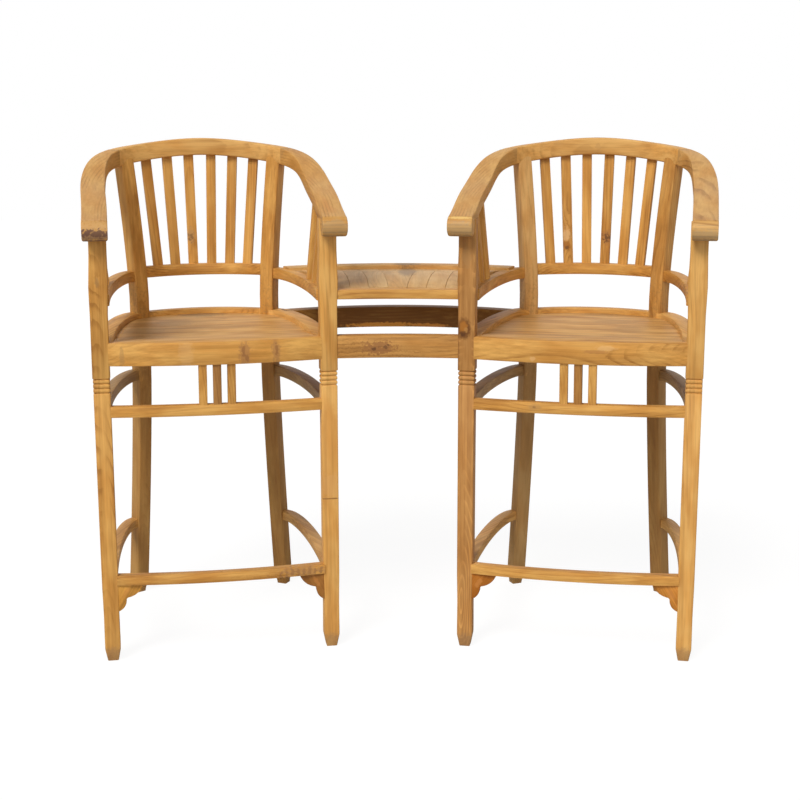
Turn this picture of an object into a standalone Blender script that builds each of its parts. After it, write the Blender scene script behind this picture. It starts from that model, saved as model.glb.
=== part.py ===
"""Teak double chair: two bar-height armchairs that face slightly inward, with a table between them.

Each chair is drawn in its own frame: the origin lies on the floor midway between its front legs,
+Y points to its back and +X to the table. The second chair is the first one mirrored.
"""
import math

import bmesh
import bpy
from mathutils import Matrix, Vector

COLLECTION = "teak_double_chair"

# Gap between two pieces that touch, and the visible joint between two boards
CLEAR = 0.0003
BOARD_JOINT = 0.0010

# Where the chairs stand
CHAIR_SPACING = 0.842
TOE_IN = math.radians(10.6)

# Heights above the floor: tops of the rails, and how deep each rail is from top to bottom
SEAT_TOP = 0.765
SEAT_RAIL_DEPTH = 0.053
UPPER_STRETCHER_TOP = 0.617
UPPER_STRETCHER_DEPTH = 0.026
FOOTREST_TOP = 0.211
FOOTREST_DEPTH = 0.023
LOWER_SIDE_RAIL_TOP = 0.873
LOWER_SIDE_RAIL_DEPTH = 0.027
LOWER_BACK_RAIL_TOP = 0.881
LOWER_BACK_RAIL_DEPTH = 0.028

# Front legs
LEG_SIZE = 0.040
LEG_HALF_SPACING = 0.262
LEG_LOW_SIZE = 0.0380
LEG_CHAMFER = 0.0022
LEG_FOOT_SIZE = 0.024
LEG_FOOT_HEIGHT = 0.032
LEG_WAIST_HEIGHT = 0.113
LEG_WAIST_SIZE = 0.0358
LEG_BULGE_HEIGHT = 0.893
LEG_BULGE_SIZE = 0.0440
LEG_BULGE_REACH = 0.065
GROOVE_TOP = 0.682
GROOVE_PITCH = 0.0107
GROOVE_COUNT = 4
GROOVE_DEPTH = 0.0019
GROOVE_HALF_WIDTH = 0.0026

# Back legs: square posts turned to point at the middle of the ring that the seat is built on
RING_CENTRE_Y = 0.189
RING_RADIUS = 0.303
POST_SIZE = 0.037
POST_ANGLE = math.radians(33.4)
POST_CHAMFER = 0.0020
POST_FOOT_SIZE = 0.026
POST_FOOT_HEIGHT = 0.040
FOOT_SPLAY = 0.053
SPLAY_START = 0.625
SPLAY_POWER = 1.30
TOP_RAKE_OUT = 0.0265
TOP_RAKE_BACK = 0.0245
RAKE_START = 0.805
RAKE_END = 1.155
RAKE_POWER = 1.35

# Arms and crest: one flowing line, flat and wide at the arms, upright over the back
ARM_HALF_SPACING = LEG_HALF_SPACING + 0.011
ARM_FRONT_Y = -0.046
ARM_STRAIGHT_TO = 0.100
ARM_CORNER_POWER = 3.65
ARM_WIDTH = 0.057
ARM_THICKNESS = 0.032
CREST_THICKNESS = 0.037
CREST_HEIGHT = 0.042
ARM_EDGE_RADIUS = 0.007
# The drum at an arm's front end lies across the arm
ARM_DRUM_RADIUS = 0.024
ARM_DRUM_Z = 1.0245
# Height of the middle of the section, against the share of the way from arm tip to middle of the crest
ARM_LINE = ((0.0, 1.0325), (0.06, 1.0415), (0.195, 1.068), (0.39, 1.097),
            (0.58, 1.142), (0.735, 1.163), (1.0, 1.182))
POST_SHARE = 0.735
ARM_TURN_START = 0.40
ARM_TURN_END = 0.72
CREST_JOINT_X = 0.216
ARM_SEAT_WIDTH = 0.110

# Rails and stretchers: thickness seen from above, and how far each front one bows forward
SEAT_RAIL_THICKNESS = 0.028
SEAT_FRONT_BOW = 0.030
SEAT_SIDE_WIDTH = 0.040
STRETCHER_THICKNESS = 0.022
STRETCHER_BOW = 0.018
SIDE_STRETCHER_WIDTH = 0.028
FOOTREST_THICKNESS = 0.028
FOOTREST_BOW = 0.021
FRONT_SETBACK = 0.004
FOOTREST_SETBACK = 0.0008
LOWER_BACK_RAIL_THICKNESS = 0.025
LOWER_SIDE_RAIL_WIDTH = 0.028
SEAT_SIDE_RAIL_X = LEG_HALF_SPACING - 0.010
SIDE_STRETCHER_X = LEG_HALF_SPACING - 0.004
LOWER_SIDE_RAIL_X = LEG_HALF_SPACING - 0.011
SIDE_LEAD_OUT = 0.040
SIDE_LEAD_IN = 0.220
RAIL_ROUNDING = 0.0022
# Side rails end this far inside the rear face of the front leg
RAIL_END = 0.003

# Tenons
TENON_THICKNESS = 0.012
TENON_SHOULDER = 0.005
TENON_ROOT = 0.012
LEG_TENON = 0.013
POST_TENON = 0.011
TOP_TENON_SIZE = 0.018
TOP_TENON_LENGTH = 0.016
CREST_TENON_HALF_LENGTH = 0.024
CREST_TENON_SIZE = 0.014
CREST_TENON_RISE = 0.008

# Slats and spindles
BACK_SLAT_WIDTH = 0.0245
BACK_SLAT_THICKNESS = 0.012
BACK_SLATS_AT_RAIL = (0.0235, 0.0700, 0.1150)
BACK_SLATS_AT_CREST = (0.0290, 0.0840, 0.1375)
SIDE_SLAT_WIDTH = 0.024
SIDE_SLAT_THICKNESS = 0.012
SIDE_SLAT_PLACES = (0.075, 0.137, 0.200)
SIDE_SLAT_LEAN = 0.020
SPINDLE_SIZE = 0.019
SPINDLE_PITCH = 0.033
STICK_TENON_SHARE = 0.55
STICK_TENON_LENGTH = 0.009

# Corner brackets under the footrest
BRACKET_THICKNESS = 0.016
BRACKET_REACH = 0.058
BRACKET_DROP = 0.065
BRACKET_NOTCH_X = 0.022
BRACKET_NOTCH_Z = 0.032
BRACKET_STEP = 0.003
BRACKET_LIP = 0.004
BRACKET_BULGE = 0.006
BRACKET_OVERLAP = 0.004
BRACKET_GAP = 0.0008

# Seat panel: boards glued edge to edge, flush at the front and sunk below the ring behind
SEAT_BOARD_COUNT = 5
SEAT_BOARD_THICKNESS = 0.018
SEAT_DIP = 0.013
SEAT_DIP_LENGTH = 0.160
BOARD_JOINT_DEPTH = 0.0012
# Tongue round the seat panel, in a groove of the seat rails
TONGUE_REACH = 0.006
TONGUE_TOP = SEAT_TOP - 0.0185
TONGUE_BOTTOM = SEAT_TOP - 0.0255
TONGUE_SHORT = 0.003

# Table between the chairs
TABLE_TOP = 0.871
TABLE_BOARD_THICKNESS = 0.017
TABLE_FRONT_RAIL_TOP = 0.873
TABLE_FRONT_RAIL_DEPTH = 0.022
TABLE_FRONT_RAIL_THICKNESS = 0.034
TABLE_REAR_RAIL_TOP = 0.879
TABLE_REAR_RAIL_DEPTH = 0.030
TABLE_REAR_RAIL_THICKNESS = 0.046
TABLE_REAR_RAIL_Y = 0.488
TABLE_REAR_RAIL_RADIUS = 0.715
REAR_APRON_THICKNESS = 0.040
REAR_APRON_Y = 0.516
REAR_APRON_RADIUS = 0.626
APRON_THICKNESS = 0.032
APRON_BOW = 0.014
BATTEN_WIDTH = 0.034
BATTEN_DEPTH = 0.018
BATTEN_Y = 0.265
CENTRE_BOARD_FRONT = 0.044
CENTRE_BOARD_REAR = 0.106
SIDE_BOARD_FRONT = 0.0445
SIDE_BOARD_REAR = 0.050
SIDE_BOARD_COUNT = 5
BOARD_FRONT_Y = 0.075
BOARD_REAR_Y = 0.455
# Rise of the table boards above TABLE_TOP, against the share of the way from front to rear
TABLE_CROWN = ((0.0, 0.0), (0.05, 0.006), (0.17, 0.0115), (0.38, 0.014), (0.66, 0.009), (1.0, -0.002))
TABLE_CROWN_STEPS = 7

# How many straight steps stand for a curve
CURVE_STEPS = 8
ARM_STEPS = 14
CREST_STEPS = 5
DRUM_STEPS = 9
SPLAY_STEPS = 7
RAKE_STEPS = 5

# Teak as photographed: colour, roughness
TEAK_ROUGHNESS = 0.55
GOLDEN = (0.62, 0.37, 0.15)
HONEY = (0.68, 0.43, 0.19)
AMBER = (0.55, 0.29, 0.10)
DUSTY = (0.52, 0.37, 0.23)


# Scene and mesh helpers

def clear_scene():
    for old in list(bpy.data.objects):
        bpy.data.objects.remove(old)


def collection(name):
    found = bpy.data.collections.new(name)
    bpy.context.scene.collection.children.link(found)
    return found


def add_object(name, mesh):
    piece = bpy.data.objects.new(name, mesh)
    parts.objects.link(piece)
    return piece


def mesh_of(name, bm):
    bm.normal_update()
    bmesh.ops.recalc_face_normals(bm, faces=bm.faces)
    mesh = bpy.data.meshes.new(name)
    bm.to_mesh(mesh)
    bm.free()
    return mesh


def evaluated_mesh(piece):
    bpy.context.view_layer.update()
    depsgraph = bpy.context.evaluated_depsgraph_get()
    return bpy.data.meshes.new_from_object(piece.evaluated_get(depsgraph))


def apply_modifiers(piece):
    mesh = evaluated_mesh(piece)
    piece.modifiers.clear()
    piece.data = mesh


def discard(pieces):
    for piece in pieces:
        bpy.data.objects.remove(piece)


def boolean(piece, tool, operation):
    cutters.objects.link(tool)
    parts.objects.unlink(tool)
    tool.hide_render = True
    tool.display_type = "WIRE"
    modifier = piece.modifiers.new(operation.title(), "BOOLEAN")
    modifier.operation = operation
    modifier.solver = "EXACT"
    modifier.object = tool
    apply_modifiers(piece)
    parts.objects.link(tool)
    cutters.objects.unlink(tool)


def cut(piece, tools):
    for tool in tools:
        boolean(piece, tool, "DIFFERENCE")


def soften(piece, width):
    """Take the sharp edges off a sawn piece."""
    bevel = piece.modifiers.new("Soft edges", "BEVEL")
    bevel.width = width
    bevel.segments = 1
    bevel.limit_method = "ANGLE"
    bevel.angle_limit = math.radians(40)
    apply_modifiers(piece)


def merged(name, pieces):
    """One object that holds several separate bodies."""
    bm = bmesh.new()
    for piece in pieces:
        mesh = piece.data.copy()
        mesh.transform(piece.matrix_world)
        bm.from_mesh(mesh)
    discard(pieces)
    mesh = bpy.data.meshes.new(name)
    bm.to_mesh(mesh)
    bm.free()
    return add_object(name, mesh)


# Shapes

def outline_piece(name, outline, bottom, top):
    """A flat outline, sawn from a board lying flat between two heights."""
    curve = bpy.data.curves.new(name, "CURVE")
    curve.dimensions = "2D"
    curve.fill_mode = "BOTH"
    curve.extrude = (top - bottom) / 2
    spline = curve.splines.new("POLY")
    spline.points.add(len(outline) - 1)
    for place, (x, y) in zip(spline.points, outline):
        place.co = (x, y, 0.0, 1.0)
    spline.use_cyclic_u = True
    drawn = add_object(name + "_outline", curve)
    drawn.location.z = (top + bottom) / 2
    mesh = evaluated_mesh(drawn)
    mesh.transform(drawn.matrix_world)
    discard([drawn])
    bm = bmesh.new()
    bm.from_mesh(mesh)
    bmesh.ops.remove_doubles(bm, verts=bm.verts, dist=0.00001)
    bmesh.ops.dissolve_limit(bm, angle_limit=0.0005, verts=bm.verts, edges=bm.edges)
    return add_object(name, mesh_of(name, bm))


def side_outline_piece(name, outline, left, right):
    """A board sawn to an outline of (y, z) points and as wide as left to right in X."""
    piece = outline_piece(name, outline, left, right)
    to_side = Matrix(((0, 0, 1, 0), (1, 0, 0, 0), (0, 1, 0, 0), (0, 0, 0, 1)))
    piece.data.transform(to_side)
    return piece


def front_outline_piece(name, outline, front, back):
    """A board sawn to an outline of (x, z) points and as thick as front to back in Y."""
    piece = outline_piece(name, outline, -back, -front)
    to_front = Matrix(((1, 0, 0, 0), (0, 0, -1, 0), (0, 1, 0, 0), (0, 0, 0, 1)))
    piece.data.transform(to_front)
    return piece


def bar(name, start, end, width, thickness, across):
    """A straight stick from start to end, its width turned toward the direction across."""
    start = Vector(start)
    end = Vector(end)
    along = (end - start).normalized()
    side = (Vector(across) - along * along.dot(Vector(across))).normalized()
    depth = along.cross(side)
    bm = bmesh.new()
    bmesh.ops.create_cube(bm, size=1.0)
    size = Matrix.Diagonal((width, thickness, (end - start).length, 1.0))
    turn = Matrix((side, depth, along)).transposed().to_4x4()
    bm.transform(Matrix.Translation((start + end) / 2) @ turn @ size)
    return add_object(name, mesh_of(name, bm))


def loft(name, sections):
    """A solid through a row of like-numbered sections, closed at both ends."""
    bm = bmesh.new()
    rings = [[bm.verts.new(point) for point in section] for section in sections]
    count = len(rings[0])
    for ring, following in zip(rings, rings[1:]):
        for i in range(count):
            j = (i + 1) % count
            bm.faces.new((ring[i], ring[j], following[j], following[i]))
    bm.faces.new(rings[0][::-1])
    bm.faces.new(rings[-1])
    bmesh.ops.triangulate(bm, faces=bm.faces)
    return add_object(name, mesh_of(name, bm))


def square_section(centre, height, size, turn, chamfer):
    """A level square with cut corners, turned about the vertical."""
    half = size / 2
    near = half - chamfer
    corners = [(half, -near), (half, near), (near, half), (-near, half),
               (-half, near), (-half, -near), (-near, -half), (near, -half)]
    cosine = math.cos(turn)
    sine = math.sin(turn)
    return [Vector((centre[0] + x * cosine - y * sine, centre[1] + x * sine + y * cosine, height))
            for x, y in corners]


def strip_outline(path, width):
    """The outline of a strip of one width along a path of (x, y) points."""
    left = []
    right = []
    for i, point in enumerate(path):
        before = path[max(i - 1, 0)]
        after = path[min(i + 1, len(path) - 1)]
        along = (after - before).normalized()
        side = Vector((-along.y, along.x)) * (width / 2)
        left.append(point + side)
        right.append(point - side)
    return [tuple(p) for p in left] + [tuple(p) for p in reversed(right)]


def strip(name, path, width, bottom, top):
    return outline_piece(name, strip_outline(path, width), bottom, top)


def between(table, share):
    """Smooth curve through the (share, value) pairs of a table."""
    keys = [key for key, value in table]
    values = [value for key, value in table]
    slopes = []
    for i in range(len(table)):
        low = max(i - 1, 0)
        high = min(i + 1, len(table) - 1)
        slopes.append((values[high] - values[low]) / (keys[high] - keys[low]))
    slopes[-1] = 0.0
    i = max(k for k in range(len(keys) - 1) if keys[k] <= max(share, keys[0]))
    span = keys[i + 1] - keys[i]
    t = min(max((share - keys[i]) / span, 0.0), 1.0)
    rise = values[i] * (2 * t ** 3 - 3 * t ** 2 + 1) + values[i + 1] * (3 * t ** 2 - 2 * t ** 3)
    lean = slopes[i] * (t ** 3 - 2 * t ** 2 + t) + slopes[i + 1] * (t ** 3 - t ** 2)
    return rise + lean * span


def ease(value, start, end):
    t = min(max((value - start) / (end - start), 0.0), 1.0)
    return t * t * (3 - 2 * t)


def bowed_path(start, end, bow, steps=CURVE_STEPS):
    """An arc from start to end whose middle stands off the chord by bow, to the right of the way along."""
    start = Vector(start)
    end = Vector(end)
    chord = end - start
    side = Vector((chord.y, -chord.x)).normalized()
    points = []
    for i in range(steps + 1):
        t = i / steps
        points.append(start + chord * t + side * (bow * 4 * t * (1 - t)))
    return points


def arc_path(centre, radius, start, end, steps=CURVE_STEPS):
    """An arc about a centre, with angles measured from +Y toward +X."""
    points = []
    for i in range(steps + 1):
        angle = start + (end - start) * i / steps
        points.append(Vector((centre[0] + radius * math.sin(angle), centre[1] + radius * math.cos(angle))))
    return points


# Lines that the chair's pieces follow

def post_centre(side, height):
    """Middle of a back leg at a height; side is +1 toward the table and -1 away from it."""
    reach = RING_RADIUS
    lean = 0.0
    if height < SPLAY_START:
        reach += FOOT_SPLAY * (1 - height / SPLAY_START) ** SPLAY_POWER
    if height > RAKE_START:
        lean = ((height - RAKE_START) / (RAKE_END - RAKE_START)) ** RAKE_POWER
    return Vector((side * (reach * math.sin(POST_ANGLE) + TOP_RAKE_OUT * lean),
                   RING_CENTRE_Y + reach * math.cos(POST_ANGLE) + TOP_RAKE_BACK * lean))


def side_path(side, height, front_x, front_end=LEG_LOW_SIZE / 2 - RAIL_END):
    """From the middle of a back leg, square out of its side face, forward to the front leg."""
    post = post_centre(side, height)
    out = Vector((side * math.cos(POST_ANGLE), -math.sin(POST_ANGLE)))
    start = post + out * (POST_SIZE / 2)
    lead = start + out * SIDE_LEAD_OUT
    finish = Vector((side * front_x, LEG_SIZE / 2))
    aim = finish + Vector((0.0, SIDE_LEAD_IN))
    points = [post]
    for i in range(CURVE_STEPS + 1):
        t = i / CURVE_STEPS
        points.append(start * (1 - t) ** 3 + lead * (3 * t * (1 - t) ** 2)
                      + aim * (3 * t ** 2 * (1 - t)) + finish * t ** 3)
    points.append(Vector((side * front_x, front_end)))
    return points


def arm_plan(steps):
    """The +X half of the arm and crest line seen from above, front tip to middle of the back."""
    post = post_centre(1, RAKE_END)
    share = 1 - (post.x / ARM_HALF_SPACING) ** ARM_CORNER_POWER
    depth = (post.y - ARM_STRAIGHT_TO) / share ** (1 / ARM_CORNER_POWER)
    points = [Vector((ARM_HALF_SPACING, ARM_FRONT_Y)), Vector((ARM_HALF_SPACING, ARM_STRAIGHT_TO))]
    for i in range(1, steps + 1):
        angle = math.pi / 2 * i / steps
        x = ARM_HALF_SPACING * max(math.cos(angle), 0.0) ** (2 / ARM_CORNER_POWER)
        y = ARM_STRAIGHT_TO + depth * math.sin(angle) ** (2 / ARM_CORNER_POWER)
        points.append(Vector((x, y)))
    return points


def along_arm(share, plan):
    """Point, direction and section size of the arm line at a share of its length."""
    lengths = [0.0]
    for here, following in zip(plan, plan[1:]):
        lengths.append(lengths[-1] + (following - here).length)
    wanted = share * lengths[-1]
    i = max(k for k in range(len(plan) - 1) if lengths[k] <= wanted)
    t = (wanted - lengths[i]) / (lengths[i + 1] - lengths[i])
    flat = plan[i].lerp(plan[i + 1], t)
    return Vector((flat.x, flat.y, between(ARM_LINE, share)))


def arm_frame(share, plan):
    step = 0.01
    place = along_arm(share, plan)
    if share + step <= 1.0:
        ahead = along_arm(share + step, plan)
    else:
        ahead = place + Vector((-1.0, 0.0, 0.0))
    behind = along_arm(max(share - step, 0.0), plan)
    if share >= 1.0 - step:
        behind = place
    along = (ahead - behind).normalized()
    side = Vector((along.y, -along.x, 0.0)).normalized()
    up = side.cross(along)
    return place, along, side, up


def arm_size(share):
    turn = ease(share, ARM_TURN_START, ARM_TURN_END)
    width = ARM_WIDTH + (CREST_THICKNESS - ARM_WIDTH) * turn
    height = ARM_THICKNESS + (CREST_HEIGHT - ARM_THICKNESS) * turn
    return width, height


def rounded_section(place, side, up, width, height, radius):
    """Twelve points round a rectangle with rounded corners."""
    radius = min(radius, width * 0.45, height * 0.45)
    points = []
    for number, (sx, sy) in enumerate(((1, 1), (-1, 1), (-1, -1), (1, -1))):
        for step in range(3):
            angle = math.pi / 2 * number + math.pi / 4 * step
            x = sx * (width / 2 - radius) + radius * math.cos(angle)
            y = sy * (height / 2 - radius) + radius * math.sin(angle)
            points.append(place + side * x + up * y)
    return points


def arm_sections(first, last, steps, plan, extra_width=0.0, extra_height=0.0):
    sections = []
    for i in range(steps + 1):
        share = first + (last - first) * i / steps
        place, along, side, up = arm_frame(share, plan)
        width, height = arm_size(share)
        sections.append(rounded_section(place, side, up, width + extra_width, height + extra_height,
                                        ARM_EDGE_RADIUS))
    return sections


def drum_sections(plan, extra_width=0.0, extra_height=0.0):
    """Upright slices through the drum at an arm's front end and the start of the arm, front slice first."""
    sections = []
    side = Vector((1.0, 0.0, 0.0))
    up = Vector((0.0, 0.0, 1.0))
    for i in range(DRUM_STEPS + 1):
        angle = math.radians(10) + math.radians(150) * i / DRUM_STEPS
        y = ARM_FRONT_Y - ARM_DRUM_RADIUS * math.cos(angle)
        high = ARM_DRUM_Z + ARM_DRUM_RADIUS * math.sin(angle)
        low = ARM_DRUM_Z - ARM_DRUM_RADIUS * math.sin(angle)
        if y > ARM_FRONT_Y:
            middle = along_arm(arm_share(y, plan), plan).z
            high = max(high, middle + ARM_THICKNESS / 2)
            low = min(low, middle - ARM_THICKNESS / 2)
        place = Vector((ARM_HALF_SPACING, y, (high + low) / 2))
        sections.append(rounded_section(place, side, up, ARM_WIDTH + extra_width, high - low + extra_height,
                                        ARM_EDGE_RADIUS))
    return sections


def flipped(sections):
    """The same sections on the other side of the chair's middle plane."""
    return [[Vector((-p.x, p.y, p.z)) for p in section] for section in sections]


# Pieces of one chair

def leg_levels(top):
    """Heights and widths up a front leg: tapered foot, waist, carved rings and a slight swelling."""
    waist_end = LEG_WAIST_HEIGHT + 0.070
    levels = [(0.0, LEG_FOOT_SIZE), (LEG_FOOT_HEIGHT * 0.35, LEG_FOOT_SIZE * 1.28),
              (LEG_FOOT_HEIGHT, LEG_LOW_SIZE * 0.94), (LEG_FOOT_HEIGHT * 1.5, LEG_LOW_SIZE * 0.96),
              (LEG_WAIST_HEIGHT, LEG_WAIST_SIZE), (waist_end, LEG_LOW_SIZE)]
    for number in range(GROOVE_COUNT - 1, -1, -1):
        middle = GROOVE_TOP - GROOVE_PITCH * number
        above = LEG_LOW_SIZE if number else LEG_SIZE
        levels.append((middle - GROOVE_HALF_WIDTH, LEG_LOW_SIZE))
        levels.append((middle, LEG_LOW_SIZE - 2 * GROOVE_DEPTH))
        levels.append((middle + GROOVE_HALF_WIDTH, above))
    levels.append((LEG_BULGE_HEIGHT - LEG_BULGE_REACH, LEG_SIZE))
    levels.append((LEG_BULGE_HEIGHT, LEG_BULGE_SIZE))
    levels.append((LEG_BULGE_HEIGHT + (top - LEG_BULGE_HEIGHT) * 0.45, LEG_SIZE))
    levels.append((top, LEG_SIZE))
    return levels


def leg_width(height):
    """Width of a front leg where a rail meets it."""
    return LEG_SIZE if height > GROOVE_TOP else LEG_LOW_SIZE


def leg_face(height):
    """How far the front leg's side face is from the middle of the chair, where a rail meets it."""
    return LEG_HALF_SPACING - leg_width(height) / 2


def beyond_faces(name, height):
    """Two blocks outside the inner faces of the front legs, to saw a bowed rail's ends square."""
    face = leg_face(height) - CLEAR
    blocks = [outline_piece("block", [(side * face, -LEG_SIZE), (side * (face + LEG_SIZE * 2), -LEG_SIZE),
                                      (side * (face + LEG_SIZE * 2), LEG_SIZE), (side * face, LEG_SIZE)],
                            0.0, SEAT_TOP * 2) for side in (1, -1)]
    return merged(name, blocks)


def front_leg(name, side, top, extra=0.0):
    """A front leg, or with extra size the shape that its neighbours keep clear of."""
    centre = (side * LEG_HALF_SPACING, 0.0)
    sections = [square_section(centre, height - (extra if height == 0.0 else 0.0), size + 2 * extra, 0.0,
                               LEG_CHAMFER) for height, size in leg_levels(top)]
    return loft(name, sections)


def back_leg(name, side, top, extra=0.0):
    """A back leg that splays at the floor and rakes above the seat."""
    splay = [POST_FOOT_HEIGHT + (SPLAY_START - POST_FOOT_HEIGHT) * i / SPLAY_STEPS for i in range(SPLAY_STEPS + 1)]
    rake = [RAKE_START + (top - RAKE_START) * i / RAKE_STEPS for i in range(RAKE_STEPS + 1)]
    heights = [0.0, POST_FOOT_HEIGHT * 0.3] + splay + rake
    sections = []
    for height in heights:
        foot = 1 - ease(height, 0.0, POST_FOOT_HEIGHT)
        size = POST_SIZE + (POST_FOOT_SIZE - POST_SIZE) * foot + 2 * extra
        sections.append(square_section(post_centre(side, height), height, size, -side * POST_ANGLE,
                                       POST_CHAMFER))
    return loft(name, sections)


def tenon(name, face, out, height, top, bottom, length, extra=0.0):
    """A tenon that leaves a rail's end at a face, goes out into the leg, and has its root in the rail."""
    middle = (top + bottom) / 2
    out = Vector((out[0], out[1], 0.0)).normalized()
    face = Vector((face[0], face[1], middle))
    return bar(name, face - out * TENON_ROOT, face + out * (length + extra), TENON_THICKNESS + 2 * extra,
               height + 2 * extra, (-out.y, out.x, 0.0))


def rail_tenons(side_rails, front_rails, back_rails, extra):
    """Tenons for a set of rails, by rail name, each set one object of separate bodies."""
    sets = {}
    for name, side, top, depth, front_x in side_rails:
        bottom = top - depth
        height = depth - 2 * TENON_SHOULDER
        post = post_centre(side, (top + bottom) / 2)
        out = Vector((side * math.cos(POST_ANGLE), -math.sin(POST_ANGLE)))
        rear = tenon("rear", post + out * (POST_SIZE / 2), -out, height, top, bottom, POST_TENON, extra)
        front = tenon("front", (side * front_x, leg_width(top) / 2), (0.0, -1.0), height, top, bottom,
                      LEG_TENON, extra)
        sets[name] = merged(name + "_tenons", [rear, front])
    for name, top, depth, y in front_rails:
        bottom = top - depth
        height = depth - 2 * TENON_SHOULDER
        ends = [tenon("end", (side * leg_face(top), y), (side, 0.0), height, top, bottom,
                      LEG_TENON, extra) for side in (1, -1)]
        sets[name] = merged(name + "_tenons", ends)
    for name, top, depth in back_rails:
        bottom = top - depth
        height = depth - 2 * TENON_SHOULDER
        ends = []
        for side in (1, -1):
            out = Vector((side * math.cos(POST_ANGLE), -math.sin(POST_ANGLE)))
            face = post_centre(side, (top + bottom) / 2) - out * (POST_SIZE / 2)
            ends.append(tenon("end", face, out, height, top, bottom, POST_TENON, extra))
        sets[name] = merged(name + "_tenons", ends)
    return sets


def stick(name, start, end, width, thickness, across):
    """A slat or spindle that runs on a little into the rails, to be cut to their faces."""
    along = (Vector(end) - Vector(start)).normalized()
    overrun = along * 0.006
    piece = bar(name, Vector(start) - overrun, Vector(end) + overrun, width, thickness, across)
    soften(piece, 0.0012)
    return piece


def stick_tenon(name, start, end, width, thickness, across, extra=0.0):
    along = (Vector(end) - Vector(start)).normalized()
    overrun = along * (STICK_TENON_LENGTH + extra)
    return bar(name, Vector(start) - overrun, Vector(end) + overrun, width * STICK_TENON_SHARE + 2 * extra,
               thickness * STICK_TENON_SHARE + 2 * extra, across)


def head_tenon(name, neck, head, width, thickness, across, extra=0.0):
    along = (head - neck).normalized()
    return bar(name, neck, head + along * (STICK_TENON_LENGTH + extra), width * STICK_TENON_SHARE + 2 * extra,
               thickness * STICK_TENON_SHARE + 2 * extra, across)


def back_slat_lines(plan):
    """Foot, head and face direction of each back slat."""
    rail_radius = post_centre(1, LOWER_BACK_RAIL_TOP).xy - Vector((0.0, RING_CENTRE_Y))
    radius = rail_radius.length
    lines = []
    for low, high in zip(BACK_SLATS_AT_RAIL, BACK_SLATS_AT_CREST):
        for side in (-1, 1):
            foot = Vector((side * low, RING_CENTRE_Y + math.sqrt(radius ** 2 - low ** 2), LOWER_BACK_RAIL_TOP))
            share = crest_share(high, plan)
            place, along, sideways, up = arm_frame(share, plan)
            width, height = arm_size(share)
            under = place - up * (height / 2)
            head = Vector((side * under.x, under.y, under.z))
            lines.append((foot, head, Vector((1.0, -side * low / radius, 0.0))))
    return sorted(lines, key=lambda line: line[0].x)


def crest_share(x, plan):
    """Share of the arm line at which the crest is x away from the middle."""
    low = 0.5
    high = 1.0
    for step in range(30):
        middle = (low + high) / 2
        if along_arm(middle, plan).x > x:
            low = middle
        else:
            high = middle
    return low


def arm_share(y, plan):
    """Share of the arm line at which the arm is y behind the front legs."""
    low = 0.0
    high = 0.5
    for step in range(30):
        middle = (low + high) / 2
        if along_arm(middle, plan).y < y:
            low = middle
        else:
            high = middle
    return low


def side_slat_lines(side, plan):
    """Foot, head and face direction of each slat under one arm."""
    lines = []
    middle = LOWER_SIDE_RAIL_TOP - LOWER_SIDE_RAIL_DEPTH / 2
    path = side_path(side, middle, LOWER_SIDE_RAIL_X)
    for y in SIDE_SLAT_PLACES:
        i = max(k for k in range(len(path) - 1) if path[k].y >= y)
        foot = path[i].lerp(path[i + 1], (y - path[i].y) / (path[i + 1].y - path[i].y))
        share = arm_share(y, plan)
        place, along, sideways, up = arm_frame(share, plan)
        width, height = arm_size(share)
        head = Vector((side * (abs(foot.x) + SIDE_SLAT_LEAN), y, place.z - height / 2))
        lines.append((Vector((foot.x, foot.y, LOWER_SIDE_RAIL_TOP)), head, Vector((0.0, 1.0, 0.0))))
    return lines


def front_centre_y(thickness, setback):
    """Middle line of a front rail where it meets the legs."""
    return -LEG_SIZE / 2 + setback + thickness / 2


def front_path(thickness, setback, bow):
    y = front_centre_y(thickness, setback)
    reach = LEG_HALF_SPACING
    return bowed_path((-reach, y), (reach, y), bow)


def spindle_lines():
    """Foot and head of the three spindles between the upper stretcher and the seat rail."""
    low = front_path(STRETCHER_THICKNESS, FRONT_SETBACK, STRETCHER_BOW)
    high = front_path(SEAT_RAIL_THICKNESS, FRONT_SETBACK, SEAT_FRONT_BOW)
    foot_y = low[len(low) // 2].y
    head_y = high[len(high) // 2].y
    lines = []
    for number in (-1, 0, 1):
        x = number * SPINDLE_PITCH
        foot = Vector((x, foot_y, UPPER_STRETCHER_TOP))
        head = Vector((x, head_y, SEAT_TOP - SEAT_RAIL_DEPTH))
        lines.append((foot, head, Vector((1.0, 0.0, 0.0))))
    return lines


def ring_inside(name, ring, rails, reach, bottom, top, corners):
    """What a ring of rails leaves open, grown by half of reach into every rail."""
    inside = outline_piece(name, ring, bottom, top)
    walls = [strip("wall", path, width - reach, bottom - 0.01, top + 0.01) for path, width in rails]
    cut(inside, walls + corners)
    discard(walls)
    return inside


def seat_height(y):
    """Top of the seat boards at a distance behind the front legs."""
    front = front_centre_y(SEAT_RAIL_THICKNESS, FRONT_SETBACK) + SEAT_RAIL_THICKNESS / 2 - SEAT_FRONT_BOW
    return SEAT_TOP - SEAT_DIP * ease(y, front, front + SEAT_DIP_LENGTH)


def seat_strip(name, start, end, left, right, rise, thickness):
    """Wood whose top follows the seat, rise above it, between two distances back."""
    steps = 5
    ys = [start + (end - start) * i / steps for i in range(steps + 1)]
    upper = [(y, seat_height(y) + rise) for y in ys]
    lower = [(y, z - thickness) for y, z in reversed(upper)]
    return side_outline_piece(name, upper + lower, left, right)


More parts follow.
